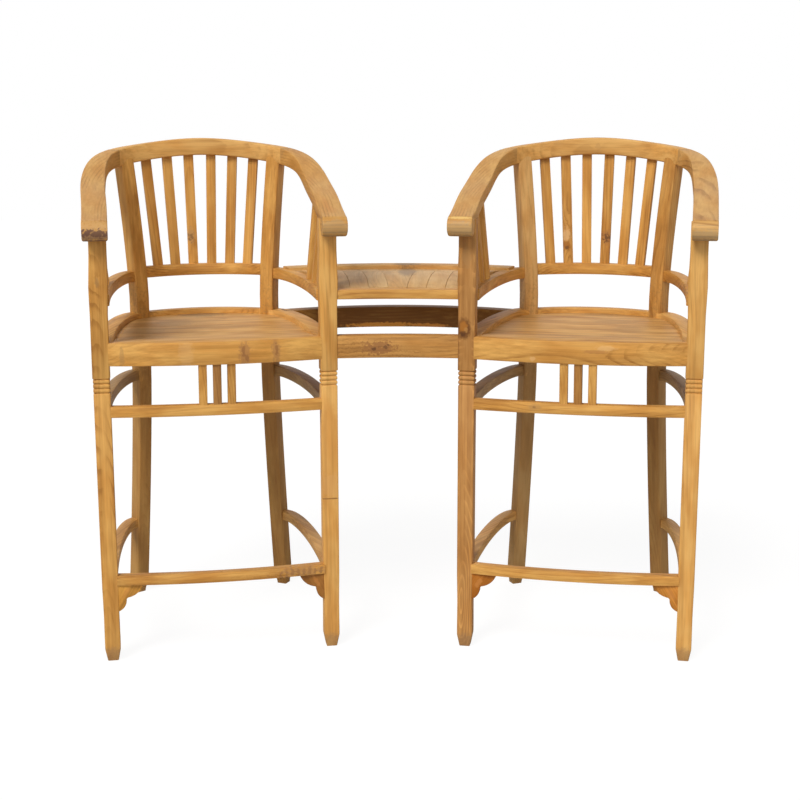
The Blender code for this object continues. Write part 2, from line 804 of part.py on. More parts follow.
def bracket(name, side, leg):
    """A two-lobed corner bracket between a front leg and the footrest, glued to the footrest."""
    edge = LEG_HALF_SPACING - LEG_SIZE / 2
    top = FOOTREST_TOP - FOOTREST_DEPTH
    end = Vector((edge - BRACKET_REACH, top - BRACKET_LIP))
    notch = Vector((edge - BRACKET_NOTCH_X, top - BRACKET_NOTCH_Z))
    step = notch + Vector((BRACKET_STEP, -BRACKET_STEP))
    foot = Vector((edge + 0.004, top - BRACKET_DROP))
    upper_lobe = bowed_path(end, notch, BRACKET_BULGE, 6)
    lower_lobe = bowed_path(step, foot, BRACKET_BULGE, 6)
    glued = top + BRACKET_OVERLAP
    corners = [Vector((edge + 0.004, glued)), Vector((edge - BRACKET_REACH, glued))]
    outline = [(side * p.x, p.y) for p in corners + upper_lobe + lower_lobe]
    front = -LEG_SIZE / 2 + FOOTREST_SETBACK + 0.001
    piece = front_outline_piece(name, outline, front, front + BRACKET_THICKNESS)
    soften(piece, 0.0012)
    cut(piece, [leg])
    return piece


def fix_sticks(pieces, lines, width, thickness, below, above, above_room):
    """Stand sticks on the piece below, as one glued part, and tenon their heads into the piece above."""
    for foot, head, across in lines:
        body = stick("stick", foot, head, width, thickness, across)
        cut(body, [above_room])
        neck = head - (head - foot).normalized() * TENON_ROOT
        end = head_tenon("end", neck, head, width, thickness, across)
        hole = head_tenon("hole", neck, head, width, thickness, across, CLEAR)
        boolean(body, end, "UNION")
        boolean(pieces[below], body, "UNION")
        cut(pieces[above], [hole])
        discard([body, end, hole])


def sunk_panel(name, outline, tongue, slab, joints):
    """A glued-up panel: a slab sawn to its outline, with a tongue all round and its joints scored on top."""
    panel = slab
    panel.name = name
    boolean(panel, outline, "INTERSECT")
    boolean(panel, tongue, "UNION")
    cut(panel, [joints])
    return panel


def build_chair():
    """All pieces of the chair whose +X side carries the table, by name."""
    pieces = {}
    plan = arm_plan(60)
    joint = crest_share(CREST_JOINT_X, plan)
    under_arm = along_arm(arm_share(0.0, plan), plan).z
    sides = (("inner", 1), ("outer", -1))

    legs = {side: front_leg("front_leg_" + word, side, under_arm) for word, side in sides}
    posts = {side: back_leg("back_leg_" + word, side, between(ARM_LINE, POST_SHARE)) for word, side in sides}
    leg_room = {side: front_leg("leg_room", side, under_arm + 0.05, CLEAR) for side in (1, -1)}
    post_room = {side: back_leg("post_room", side, between(ARM_LINE, POST_SHARE), CLEAR) for side in (1, -1)}

    side_rails = []
    for word, side in sides:
        side_rails.append(("seat_side_rail_" + word, side, SEAT_TOP, SEAT_RAIL_DEPTH, SEAT_SIDE_RAIL_X))
        side_rails.append(("upper_side_stretcher_" + word, side, UPPER_STRETCHER_TOP, UPPER_STRETCHER_DEPTH,
                           SIDE_STRETCHER_X))
        side_rails.append(("lower_side_stretcher_" + word, side, FOOTREST_TOP, FOOTREST_DEPTH,
                           SIDE_STRETCHER_X))
        side_rails.append(("lower_side_rail_" + word, side, LOWER_SIDE_RAIL_TOP, LOWER_SIDE_RAIL_DEPTH,
                           LOWER_SIDE_RAIL_X))
    front_rails = [
        ("seat_front_rail", SEAT_TOP, SEAT_RAIL_DEPTH, front_centre_y(SEAT_RAIL_THICKNESS, FRONT_SETBACK)),
        ("upper_front_stretcher", UPPER_STRETCHER_TOP, UPPER_STRETCHER_DEPTH,
         front_centre_y(STRETCHER_THICKNESS, FRONT_SETBACK)),
        ("footrest", FOOTREST_TOP, FOOTREST_DEPTH, front_centre_y(FOOTREST_THICKNESS, FOOTREST_SETBACK)),
    ]
    back_rails = [("seat_back_rail", SEAT_TOP, SEAT_RAIL_DEPTH),
                  ("lower_back_rail", LOWER_BACK_RAIL_TOP, LOWER_BACK_RAIL_DEPTH)]
    tenons = rail_tenons(side_rails, front_rails, back_rails, 0.0)
    mortises = rail_tenons(side_rails, front_rails, back_rails, CLEAR)

    # Rails: sawn, edges eased, cut to the legs, then given their tenons
    side_widths = {"seat": SEAT_SIDE_WIDTH, "upper": SIDE_STRETCHER_WIDTH, "lower": SIDE_STRETCHER_WIDTH}
    room = {}
    for name, side, top, depth, front_x in side_rails:
        width = side_widths[name.split("_")[0]]
        if name.startswith("lower_side_rail"):
            width = LOWER_SIDE_RAIL_WIDTH
        path = side_path(side, top - depth / 2, front_x)
        if name.startswith("seat"):
            path = side_path(side, top - depth / 2, front_x, 0.0)
        pieces[name] = strip(name, path, width, top - depth, top)
        soften(pieces[name], RAIL_ROUNDING)
        room[name] = strip(name + "_room", path, width + 2 * CLEAR, top - depth - CLEAR, top + CLEAR)
        cut(pieces[name], [leg_room[side], post_room[side]])
    fronts = {
        "seat_front_rail": (SEAT_RAIL_THICKNESS, FRONT_SETBACK, SEAT_FRONT_BOW),
        "upper_front_stretcher": (STRETCHER_THICKNESS, FRONT_SETBACK, STRETCHER_BOW),
        "footrest": (FOOTREST_THICKNESS, FOOTREST_SETBACK, FOOTREST_BOW),
    }
    for name, top, depth, y in front_rails:
        thickness, setback, bow = fronts[name]
        path = front_path(thickness, setback, bow)
        pieces[name] = strip(name, path, thickness, top - depth, top)
        soften(pieces[name], RAIL_ROUNDING)
        room[name] = strip(name + "_room", path, thickness + 2 * CLEAR, top - depth - CLEAR, top + CLEAR)
        square_ends = beyond_faces("square_ends", top)
        cut(pieces[name], [leg_room[1], leg_room[-1], square_ends])
        discard([square_ends])
    thicknesses = {"seat_back_rail": SEAT_RAIL_THICKNESS, "lower_back_rail": LOWER_BACK_RAIL_THICKNESS}
    for name, top, depth in back_rails:
        radius = (post_centre(1, top - depth / 2) - Vector((0.0, RING_CENTRE_Y))).length
        path = arc_path((0.0, RING_CENTRE_Y), radius, -POST_ANGLE, POST_ANGLE)
        pieces[name] = strip(name, path, thicknesses[name], top - depth, top)
        soften(pieces[name], RAIL_ROUNDING)
        room[name] = strip(name + "_room", path, thicknesses[name] + 2 * CLEAR, top - depth - CLEAR,
                           top + CLEAR)
        cut(pieces[name], [post_room[1], post_room[-1]])
    for word, side in sides:
        cut(pieces["seat_side_rail_" + word], [room["seat_front_rail"]])
    for name, set_of_tenons in tenons.items():
        boolean(pieces[name], set_of_tenons, "UNION")
    discard(list(tenons.values()))

    # Arms and crest
    drum = drum_sections(plan)
    body_start = arm_share(ARM_FRONT_Y + ARM_DRUM_RADIUS * 1.15, plan)
    arm = drum + arm_sections(body_start, joint, ARM_STEPS, plan)
    pieces["arm_inner"] = loft("arm_inner", arm)
    pieces["arm_outer"] = loft("arm_outer", flipped(arm))
    joint_gap = CLEAR / 0.7
    half = arm_sections(joint + joint_gap, 1.0, CREST_STEPS, plan)
    pieces["crest_rail"] = loft("crest_rail", half[:-1] + flipped(half)[::-1])
    wide = (drum_sections(plan, ARM_SEAT_WIDTH, 2 * CLEAR)
            + arm_sections(body_start, joint, ARM_STEPS, plan, ARM_SEAT_WIDTH, 2 * CLEAR)
            + arm_sections(joint + joint_gap, 1.0, CREST_STEPS, plan, ARM_SEAT_WIDTH, 2 * CLEAR))
    arm_room = loft("arm_room", wide[:-1] + flipped(wide)[::-1])

    # Back slats: each its own piece, tenoned at both ends
    size = (BACK_SLAT_WIDTH, BACK_SLAT_THICKNESS)
    for number, (foot, head, across) in enumerate(back_slat_lines(plan)):
        name = "back_slat_" + str(number + 1)
        slat = stick(name, foot, head, *size, across)
        cut(slat, [room["lower_back_rail"], arm_room])
        ends = stick_tenon("ends", foot, head, *size, across)
        holes = stick_tenon("holes", foot, head, *size, across, CLEAR)
        boolean(slat, ends, "UNION")
        cut(pieces["lower_back_rail"], [holes])
        cut(pieces["crest_rail"], [holes])
        discard([ends, holes])
        pieces[name] = slat

    # Side slats and spindles: glued to the rail below them, tenoned into the wood above
    for word, side in sides:
        fix_sticks(pieces, side_slat_lines(side, plan), SIDE_SLAT_WIDTH, SIDE_SLAT_THICKNESS,
                   "lower_side_rail_" + word, "arm_" + word, arm_room)
    fix_sticks(pieces, spindle_lines(), SPINDLE_SIZE, SPINDLE_SIZE, "upper_front_stretcher",
               "seat_front_rail", room["seat_front_rail"])

    # Legs: cut under the arms, mortised for the rails, tenoned into arms and crest
    all_mortises = merged("mortises", list(mortises.values()))
    tops = []
    top_mortises = []
    for word, side in sides:
        leg_top = Vector((side * LEG_HALF_SPACING, 0.0, under_arm - ARM_THICKNESS / 2))
        place = post_centre(side, RAKE_END)
        post_top = Vector((place.x, place.y, between(ARM_LINE, POST_SHARE) - CREST_HEIGHT / 2))
        for body, top, lean in ((legs[side], leg_top, Vector((0.0, 0.0, 1.0))),
                                (posts[side], post_top, Vector((0.0, 0.0, 1.0)))):
            tops.append((body, bar("top_tenon", top - lean * TENON_ROOT * 2, top + lean * TOP_TENON_LENGTH,
                                   TOP_TENON_SIZE, TOP_TENON_SIZE, (1.0, 0.0, 0.0))))
            top_mortises.append(bar("top_mortise", top - lean * TENON_ROOT * 2,
                                    top + lean * (TOP_TENON_LENGTH + CLEAR), TOP_TENON_SIZE + 2 * CLEAR,
                                    TOP_TENON_SIZE + 2 * CLEAR, (1.0, 0.0, 0.0)))
    for body, top_tenon in tops:
        cut(body, [arm_room])
        boolean(body, top_tenon, "UNION")
        cut(body, [all_mortises])
        discard([top_tenon])
    top_cutter = merged("top_mortises", top_mortises)
    for name in ("arm_inner", "arm_outer", "crest_rail"):
        cut(pieces[name], [top_cutter])

    # A tenon on each arm goes into the end of the crest
    place, along, sideways, up = arm_frame(joint, plan)
    for word, side in sides:
        middle = place + up * CREST_TENON_RISE
        start = middle - along * CREST_TENON_HALF_LENGTH
        end = middle + along * CREST_TENON_HALF_LENGTH
        deep = end + along * CLEAR
        start, end, deep, across = [Vector((side * p.x, p.y, p.z)) for p in (start, end, deep, sideways)]
        crest_tenon = bar("crest_tenon", start, end, CREST_TENON_SIZE, CREST_TENON_SIZE, across)
        crest_mortise = bar("crest_mortise", start, deep, CREST_TENON_SIZE + 2 * CLEAR,
                            CREST_TENON_SIZE + 2 * CLEAR, across)
        boolean(pieces["arm_" + word], crest_tenon, "UNION")
        cut(pieces["crest_rail"], [crest_mortise])
        discard([crest_tenon, crest_mortise])
    discard([top_cutter, all_mortises])

    # The seat panel fills the ring, its tongue in a groove of the rails
    front = front_path(SEAT_RAIL_THICKNESS, FRONT_SETBACK, SEAT_FRONT_BOW)
    right = side_path(1, SEAT_TOP, SEAT_SIDE_RAIL_X, 0.0)
    back = arc_path((0.0, RING_CENTRE_Y), RING_RADIUS, POST_ANGLE, -POST_ANGLE)
    left = side_path(-1, SEAT_TOP, SEAT_SIDE_RAIL_X, 0.0)
    ring = [tuple(p) for p in front[1:-1] + right[:0:-1] + back + left[1:]]
    rails = [(front, SEAT_RAIL_THICKNESS), (right, SEAT_SIDE_WIDTH), (left, SEAT_SIDE_WIDTH),
             (back, SEAT_RAIL_THICKNESS)]
    corners = [leg_room[1], leg_room[-1], post_room[1], post_room[-1]]
    low = SEAT_TOP - 0.05
    high = SEAT_TOP + 0.02
    opening = ring_inside("opening", ring, rails, -2 * CLEAR, low, high, corners)
    short_of = [front_leg("short_of", side, under_arm, TONGUE_SHORT) for side in (1, -1)]
    short_of += [back_leg("short_of", side, RAKE_END, TONGUE_SHORT) for side in (1, -1)]
    tongue = ring_inside("tongue", ring, rails, 2 * TONGUE_REACH, TONGUE_BOTTOM, TONGUE_TOP, short_of)
    groove = ring_inside("groove", ring, rails, 2 * (TONGUE_REACH + CLEAR), TONGUE_BOTTOM - CLEAR,
                         TONGUE_TOP + CLEAR, [])
    start = min(p.y for p in front)
    end = RING_CENTRE_Y + RING_RADIUS
    width = (end - start) / SEAT_BOARD_COUNT
    reach = LEG_HALF_SPACING + LEG_SIZE
    slab = seat_strip("seat_panel", start, end, -reach, reach, 0.0, SEAT_BOARD_THICKNESS)
    below_score = seat_strip("below_score", start - CLEAR, end + CLEAR, -reach * 1.04, reach * 1.04,
                             -BOARD_JOINT_DEPTH, 3 * SEAT_BOARD_THICKNESS)
    joints = merged("joints", [bar("joint", (-reach * 1.02, start + width * number, SEAT_TOP),
                                   (reach * 1.02, start + width * number, SEAT_TOP), BOARD_JOINT,
                                   3 * SEAT_BOARD_THICKNESS, (0, 1, 0))
                               for number in range(1, SEAT_BOARD_COUNT)])
    cut(joints, [below_score])
    pieces["seat_panel"] = sunk_panel("seat_panel", opening, tongue, slab, joints)
    for name in ("seat_front_rail", "seat_side_rail_inner", "seat_side_rail_outer", "seat_back_rail"):
        cut(pieces[name], [groove])
    discard([opening, tongue, groove, below_score, joints] + short_of)

    for side in (1, -1):
        beside = front_leg("beside", side, under_arm, BRACKET_GAP)
        corner = bracket("bracket", side, beside)
        boolean(pieces["footrest"], corner, "UNION")
        discard([corner, beside])
    for word, side in sides:
        pieces["front_leg_" + word] = legs[side]
        pieces["back_leg_" + word] = posts[side]
    discard(list(room.values()) + [arm_room] + list(leg_room.values()) + list(post_room.values()))
    return pieces


# Placing the two chairs

def chair_matrix(side):
    """Side is -1 for the chair at -X and +1 for the one at +X."""
    turn = Matrix.Rotation(-side * TOE_IN, 4, "Z")
    return Matrix.Translation((side * CHAIR_SPACING / 2, 0.0, 0.0)) @ turn


def place_chairs(pieces):
    """Left and right chairs as separate objects, the right one mirrored."""
    placed = {}
    for name, piece in pieces.items():
        right_mesh = piece.data.copy()
        right_mesh.transform(Matrix.Diagonal((-1.0, 1.0, 1.0, 1.0)))
        right_mesh.flip_normals()
        piece.name = "left_" + name
        piece.data.name = piece.name
        piece.matrix_world = chair_matrix(-1)
        placed[piece.name] = piece
        twin = add_object("right_" + name, right_mesh)
        twin.matrix_world = chair_matrix(1)
        placed[twin.name] = twin
    return placed


def to_world(point, side):
    """A point of the left chair's drawing, seen in the world on the given side."""
    x = point[0] if side < 0 else -point[0]
    place = chair_matrix(side) @ Vector((x, point[1], 0.0))
    return Vector((place.x, place.y))


# The table and the aprons below it

def table_front_path(thickness, bow):
    """Between the two inner front legs, bowed away from the sitter's side."""
    y = front_centre_y(thickness, FRONT_SETBACK)
    left = to_world((LEG_HALF_SPACING, y), -1)
    right = to_world((LEG_HALF_SPACING, y), 1)
    return bowed_path(left, right, -bow)


def rear_path(middle_y, radius, height, front_x, front_end):
    """An arc behind the table that ends in the middle of the two inner side rails."""
    rail = [to_world(p, 1) for p in side_path(1, height, front_x, front_end)]
    centre = Vector((0.0, middle_y - radius))
    best = 0.0
    least = radius
    for step in range(100, 500):
        angle = math.radians(step / 10)
        point = centre + Vector((radius * math.sin(angle), radius * math.cos(angle)))
        gap = min(line_distance(point, a, b) for a, b in zip(rail, rail[1:]))
        if gap < least:
            least = gap
            best = angle
    return arc_path(centre, radius, -best, best, 2 * CURVE_STEPS)


def line_distance(point, start, end):
    along = end - start
    t = min(max((point - start).dot(along) / along.length_squared, 0.0), 1.0)
    return (point - start - along * t).length


def end_tenons(path, depth, top, into, inside, extra):
    """Tenons at both ends of a path, from a root in the rail to just past the path's end."""
    ends = []
    for end, before in ((path[0], path[1]), (path[-1], path[-2])):
        out = (end - before).normalized()
        face = end - out * into
        ends.append(tenon("end", face, out, depth - 2 * TENON_SHOULDER, top, top - depth, inside, extra))
    return merged("end_tenons", ends)


def board_edge(side, number, y):
    """X of a joint between table boards; number 0 is the edge of the middle board."""
    front = CENTRE_BOARD_FRONT / 2 + SIDE_BOARD_FRONT * number
    rear = CENTRE_BOARD_REAR / 2 + SIDE_BOARD_REAR * number
    return side * (front + (rear - front) * (y - BOARD_FRONT_Y) / (BOARD_REAR_Y - BOARD_FRONT_Y))


def table_height(y):
    """Top of the table boards at a distance back."""
    share = (y - BOARD_FRONT_Y) / (BOARD_REAR_Y - BOARD_FRONT_Y)
    return TABLE_TOP + between(TABLE_CROWN, min(max(share, 0.0), 1.0))


def table_slab(name, front, back, left, right, drop, thickness):
    """Wood that follows the table's crown, its top a drop below the top of the boards."""
    ys = [front + (back - front) * i / TABLE_CROWN_STEPS for i in range(TABLE_CROWN_STEPS + 1)]
    upper = [(y, table_height(y) - drop) for y in ys]
    lower = [(y, z - thickness) for y, z in reversed(upper)]
    return side_outline_piece(name, upper + lower, left, right)


def table_joint(side, number, front, back):
    """A thin upright sheet where two boards of the top meet."""
    left = [(board_edge(side, number, y) - BOARD_JOINT / 2, y) for y in (front, back)]
    right = [(board_edge(side, number, y) + BOARD_JOINT / 2, y) for y in (back, front)]
    return outline_piece("joint", left + right, TABLE_TOP - 0.03, TABLE_TOP + 0.03)


def room_for(path, width, bottom, top):
    return strip("room", path, width + 2 * CLEAR, bottom, top)


def build_table(chairs):
    pieces = {}
    seat_x = SEAT_SIDE_RAIL_X
    rail_x = LOWER_SIDE_RAIL_X
    rail_end = LEG_LOW_SIZE / 2 - RAIL_END
    rail_middle = LOWER_SIDE_RAIL_TOP - LOWER_SIDE_RAIL_DEPTH / 2
    seat_middle = SEAT_TOP - SEAT_RAIL_DEPTH / 2
    low = SEAT_TOP - SEAT_RAIL_DEPTH - 0.02
    high = TABLE_REAR_RAIL_TOP + 0.02

    leg_rooms = []
    post_rooms = []
    for side in (-1, 1):
        mirror = Matrix.Diagonal((-side, 1, 1, 1))
        leg = front_leg("leg_room", 1, high, CLEAR)
        post = back_leg("post_room", 1, between(ARM_LINE, POST_SHARE), CLEAR)
        for body, group in ((leg, leg_rooms), (post, post_rooms)):
            body.data.transform(chair_matrix(side) @ mirror)
            if side > 0:
                body.data.flip_normals()
            group.append(body)
    rail_rooms = []
    seat_rooms = []
    for side in (-1, 1):
        rail_path = [to_world(p, side) for p in side_path(1, rail_middle, rail_x)]
        seat_path = [to_world(p, side) for p in side_path(1, seat_middle, seat_x, 0.0)]
        rail_rooms.append(room_for(rail_path, LOWER_SIDE_RAIL_WIDTH, low, high))
        seat_rooms.append(room_for(seat_path, SEAT_SIDE_WIDTH, low, high))

    front_specs = {
        "table_front_rail": (TABLE_FRONT_RAIL_THICKNESS, TABLE_FRONT_RAIL_TOP, TABLE_FRONT_RAIL_DEPTH),
        "lower_front_apron": (APRON_THICKNESS, SEAT_TOP, SEAT_RAIL_DEPTH),
    }
    inner_legs = (chairs["left_front_leg_inner"], chairs["right_front_leg_inner"])
    for name, (thickness, top, depth) in front_specs.items():
        path = table_front_path(thickness, APRON_BOW)
        piece = strip(name, path, thickness, top - depth, top)
        soften(piece, RAIL_ROUNDING)
        cut(piece, leg_rooms)
        face = LEG_SIZE / 2
        tenons = end_tenons(path, depth, top, face, LEG_TENON, 0.0)
        mortises = end_tenons(path, depth, top, face, LEG_TENON, CLEAR)
        boolean(piece, tenons, "UNION")
        for leg in inner_legs:
            cut(leg, [mortises])
        discard([tenons, mortises])
        pieces[name] = piece

    table_rear = rear_path(TABLE_REAR_RAIL_Y, TABLE_REAR_RAIL_RADIUS, rail_middle, rail_x, rail_end)
    apron_rear = rear_path(REAR_APRON_Y, REAR_APRON_RADIUS, seat_middle, seat_x, 0.0)
    rear_specs = {
        "table_rear_rail": (table_rear, TABLE_REAR_RAIL_THICKNESS, TABLE_REAR_RAIL_TOP,
                            TABLE_REAR_RAIL_DEPTH, rail_middle, LOWER_SIDE_RAIL_WIDTH, rail_rooms,
                            "lower_side_rail_inner"),
        "lower_rear_apron": (apron_rear, REAR_APRON_THICKNESS, SEAT_TOP, SEAT_RAIL_DEPTH, seat_middle,
                             SEAT_SIDE_WIDTH, seat_rooms, "seat_side_rail_inner"),
    }
    for name, (path, thickness, top, depth, middle, rail_width, rooms, receiver) in rear_specs.items():
        piece = strip(name, path, thickness, top - depth, top)
        soften(piece, RAIL_ROUNDING)
        cut(piece, rooms + post_rooms)
        tenon_top = min(top, middle + depth / 2)
        tenons = end_tenons(path, 2 * (tenon_top - middle), tenon_top, rail_width / 2, rail_width / 2, 0.0)
        mortises = end_tenons(path, 2 * (tenon_top - middle), tenon_top, rail_width / 2, rail_width / 2, CLEAR)
        boolean(piece, tenons, "UNION")
        for word in ("left_", "right_"):
            cut(chairs[word + receiver], [mortises])
        discard([tenons, mortises])
        pieces[name] = piece

    # Boards between the rails, on two battens
    front = table_front_path(TABLE_FRONT_RAIL_THICKNESS, APRON_BOW)
    right = [to_world(p, 1) for p in side_path(1, rail_middle, rail_x)][1:]
    left = [to_world(p, -1) for p in side_path(1, rail_middle, rail_x)][1:]
    reach = table_rear[-1].x
    right = [p for p in right if p.x < reach - 0.002]
    left = [p for p in left if p.x > -reach + 0.002]
    ring = front[1:-1] + right[::-1] + table_rear[::-1] + left
    opening = outline_piece("table_opening", [tuple(p) for p in ring], low, high)
    rails = [room_for(front, TABLE_FRONT_RAIL_THICKNESS, low - 0.01, high + 0.01),
             room_for(table_rear, TABLE_REAR_RAIL_THICKNESS, low - 0.01, high + 0.01)]
    cut(opening, rails + rail_rooms + leg_rooms + post_rooms)
    front_y = min(p.y for p in front)
    back_y = max(p.y for p in table_rear)
    top_panel = table_slab("table_top", front_y - 0.01, back_y + 0.01, -0.5, 0.5, 0.0, TABLE_BOARD_THICKNESS)
    boolean(top_panel, opening, "INTERSECT")
    below_score = table_slab("below_score", front_y - 0.03, back_y + 0.03, -0.5, 0.5, BOARD_JOINT_DEPTH, 0.05)
    joints = merged("joints", [table_joint(side, number, front_y - 0.02, back_y + 0.02)
                               for side in (-1, 1) for number in range(SIDE_BOARD_COUNT)])
    cut(joints, [below_score])
    cut(top_panel, [joints])
    pieces["table_top"] = top_panel
    batten = table_slab("table_batten", BATTEN_Y - BATTEN_WIDTH / 2, BATTEN_Y + BATTEN_WIDTH / 2, -0.5, 0.5,
                        TABLE_BOARD_THICKNESS + CLEAR, BATTEN_DEPTH)
    boolean(batten, opening, "INTERSECT")
    pieces["table_batten"] = batten
    discard([below_score, joints])
    discard([opening] + rails + rail_rooms + seat_rooms + leg_rooms + post_rooms)
    return pieces


# Materials and the common origin

def teak(name, colour):
    material = bpy.data.materials.new("teak_" + name)
    material.use_nodes = True
    shader = material.node_tree.nodes["Principled BSDF"]
    shader.inputs["Base Color"].default_value = (*colour, 1.0)
    shader.inputs["Roughness"].default_value = TEAK_ROUGHNESS
    shader.inputs["Metallic"].default_value = 0.0
    material.diffuse_color = (*colour, 1.0)
    return material


def colour_of(name):
    if "apron" in name:
        return AMBER
    if "panel" in name or "top" in name:
        return DUSTY
    if "arm" in name or "crest" in name or "table" in name:
        return HONEY
    return GOLDEN


def centre_on_floor(pieces):
    """Move everything so that the middle of its footprint is the origin."""
    points = [piece.matrix_world @ corner.co for piece in pieces for corner in piece.data.vertices]
    middle_x = (min(p.x for p in points) + max(p.x for p in points)) / 2
    middle_y = (min(p.y for p in points) + max(p.y for p in points)) / 2
    for piece in pieces:
        piece.matrix_world = Matrix.Translation((-middle_x, -middle_y, 0.0)) @ piece.matrix_world


clear_scene()
parts = collection(COLLECTION)
cutters = collection(COLLECTION + "_cutters")
everything = place_chairs(build_chair())
everything.update(build_table(everything))
for part_name, part in everything.items():
    part.data.materials.clear()
    part.data.materials.append(teak(part_name, colour_of(part_name)))
centre_on_floor(list(everything.values()))
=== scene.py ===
"""Teak double chair: the finished look of two bar-height armchairs with a table between them.

Every piece of the left chair is modelled in that chair's own drawing frame (origin on the floor
midway between its front legs, +Y to its back, +X to the table), then stood in place. The right
chair's pieces are mirrored copies. The table's pieces are modelled where they stand.
"""
import math
from functools import partial

import bmesh
import bpy
from mathutils import Matrix, Vector


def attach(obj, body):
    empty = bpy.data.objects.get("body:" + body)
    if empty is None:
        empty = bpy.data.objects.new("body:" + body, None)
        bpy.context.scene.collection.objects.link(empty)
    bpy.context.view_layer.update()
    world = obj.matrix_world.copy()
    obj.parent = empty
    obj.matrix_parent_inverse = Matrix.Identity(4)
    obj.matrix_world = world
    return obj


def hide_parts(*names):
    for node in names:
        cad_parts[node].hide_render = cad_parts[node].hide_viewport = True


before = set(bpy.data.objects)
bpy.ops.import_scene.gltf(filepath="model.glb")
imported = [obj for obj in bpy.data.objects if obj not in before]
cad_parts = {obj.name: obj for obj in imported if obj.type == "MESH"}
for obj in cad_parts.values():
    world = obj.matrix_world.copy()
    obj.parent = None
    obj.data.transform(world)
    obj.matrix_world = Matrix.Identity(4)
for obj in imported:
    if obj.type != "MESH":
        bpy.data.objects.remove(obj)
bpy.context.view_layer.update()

bl_info = {
    "name": "Teak double chair",
    "version": (1, 0, 0),
    "blender": (4, 5, 0),
    "location": "View3D > Sidebar > Double chair",
    "description": "Models a teak double chair piece by piece and gives it sanded teak",
    "category": "Object",
}

# Where the chairs stand
CHAIR_HALF_SPACING = 0.421
TOE_IN = math.radians(10.6)
FLOOR_SHIFT = -0.2060
GAP = 0.0003

# Back legs stand on a ring about this point
RING_CENTRE_Y = 0.189
RING_RADIUS = 0.303
POST_ANGLE = math.radians(33.4)
POST_FOOT_HEIGHT = 0.040
FOOT_SPLAY = 0.053
SPLAY_START = 0.625
SPLAY_POWER = 1.30
TOP_RAKE_OUT = 0.0265
TOP_RAKE_BACK = 0.0245
RAKE_START = 0.805
RAKE_END = 1.155
RAKE_POWER = 1.35

# Line of the arms and the crest
ARM_FRONT_Y = -0.046
ARM_STRAIGHT_TO = 0.100
ARM_CORNER_POWER = 3.65
ARM_DRUM_RADIUS = 0.024
ARM_DRUM_Z = 1.0245
ARM_LINE = ((0.0, 1.0325), (0.06, 1.0415), (0.195, 1.068), (0.39, 1.097),
            (0.58, 1.142), (0.735, 1.163), (1.0, 1.182))
POST_SHARE = 0.735
ARM_TURN = (0.40, 0.72)
CREST_SECTION = (0.037, 0.042)
ARM_BLANK = (0.047, 0.037)
ARM_OVERHANG = 0.011
ARM_DRUM_ANGLES = (7, 160)
ARM_DRUM_STEPS = 18
ARM_TIP = 0.002
ARM_STEPS = 40
ARM_ROUNDING = 0.0032
CREST_STEPS = 24
CREST_ROUNDING = 0.0040
CREST_JOINT_SHARE = 0.0006

# The top of the left chair's outer leg and the front of its arm stand further in: (shift, reach)
LEG_PULL = (0.004, 0.26)
ARM_PULL = (0.0105, 0.48)
CREST_JOINT_X = 0.216

# Rails, each with its upright depth and level width
SEAT_RAIL_DEPTH = 0.053
SEAT_FRONT_WIDTH = 0.028
SEAT_SIDE_WIDTH = 0.040
SEAT_BACK_WIDTH = 0.028
SEAT_BOW = 0.030
STRETCHER_TOP = 0.617
STRETCHER_DEPTH = 0.026
STRETCHER_WIDTH = 0.022
STRETCHER_BOW = 0.018
FOOTREST_TOP = 0.211
FOOTREST_DEPTH = 0.023
FOOTREST_WIDTH = 0.028
FOOTREST_BOW = 0.021
FOOTREST_SETBACK = 0.0008
LOWER_RAIL_TOP = 0.873
LOWER_RAIL_DEPTH = 0.027
SIDE_RAIL_WIDTH = 0.028
BACK_RAIL_TOP = 0.881
BACK_RAIL_DEPTH = 0.028
BACK_RAIL_WIDTH = 0.025
FRONT_SETBACK = 0.004
SIDE_LEAD_OUT = 0.040
SIDE_LEAD_IN = 0.220
SEAT_SIDE_X = 0.252
STRETCHER_X = 0.258
LOWER_RAIL_X = 0.251
RAIL_ROUNDING = 0.0024
THIN_ROUNDING = 0.0022
FRONT_ROUNDING = 0.0026
SINK = 0.004
RAIL_FRONT_END = 0.012
SEAT_SIDE_FRONT_END = 0.006
SIDE_CUTS = 40

# Front legs: (height, width) at the foot, (rise, growth) of a ring and (height, growth) of the swelling
LEG_LOW_SIZE = 0.038
LEG_FOOT = ((0.0, 0.0240), (0.0015, 0.0256), (0.0285, 0.0357), (0.0310, 0.0363), (0.048, 0.0365),
            (0.113, 0.0358), (0.150, 0.0368), (0.183, LEG_LOW_SIZE))
LEG_RINGS = 4
LEG_RING_TOP = 0.682
LEG_RING_PITCH = 0.0107
LEG_RING = ((-0.0034, 0.0004), (-0.0022, -0.0008), (-0.0007, -0.0050), (0.0007, -0.0050),
            (0.0022, -0.0008), (0.0034, 0.0004))
LEG_SWELLING = ((0.828, 0.0), (0.860, 0.0020), (0.893, 0.0040), (0.930, 0.0020), (0.966, 0.0))
LEG_ROUNDING = 0.0030
POST_FOOT_SIZE = 0.026
POST_FOOT_LEVELS = [0.0, 0.006, 0.014, 0.026, POST_FOOT_HEIGHT]
POST_STEPS = 14
RAKE_STEPS = 8
POST_ROUNDING = 0.0028

# Slats
BACK_SLATS_AT_RAIL = (0.0235, 0.0700, 0.1150)
BACK_SLATS_AT_CREST = (0.0290, 0.0840, 0.1375)
SIDE_SLAT_PLACES = (0.075, 0.137, 0.200)
SIDE_SLAT_LEAN = 0.020
SIDE_SLAT_WIDTH = 0.024
SPINDLE_PITCH = 0.033
STICK_ROUNDING = 0.0015

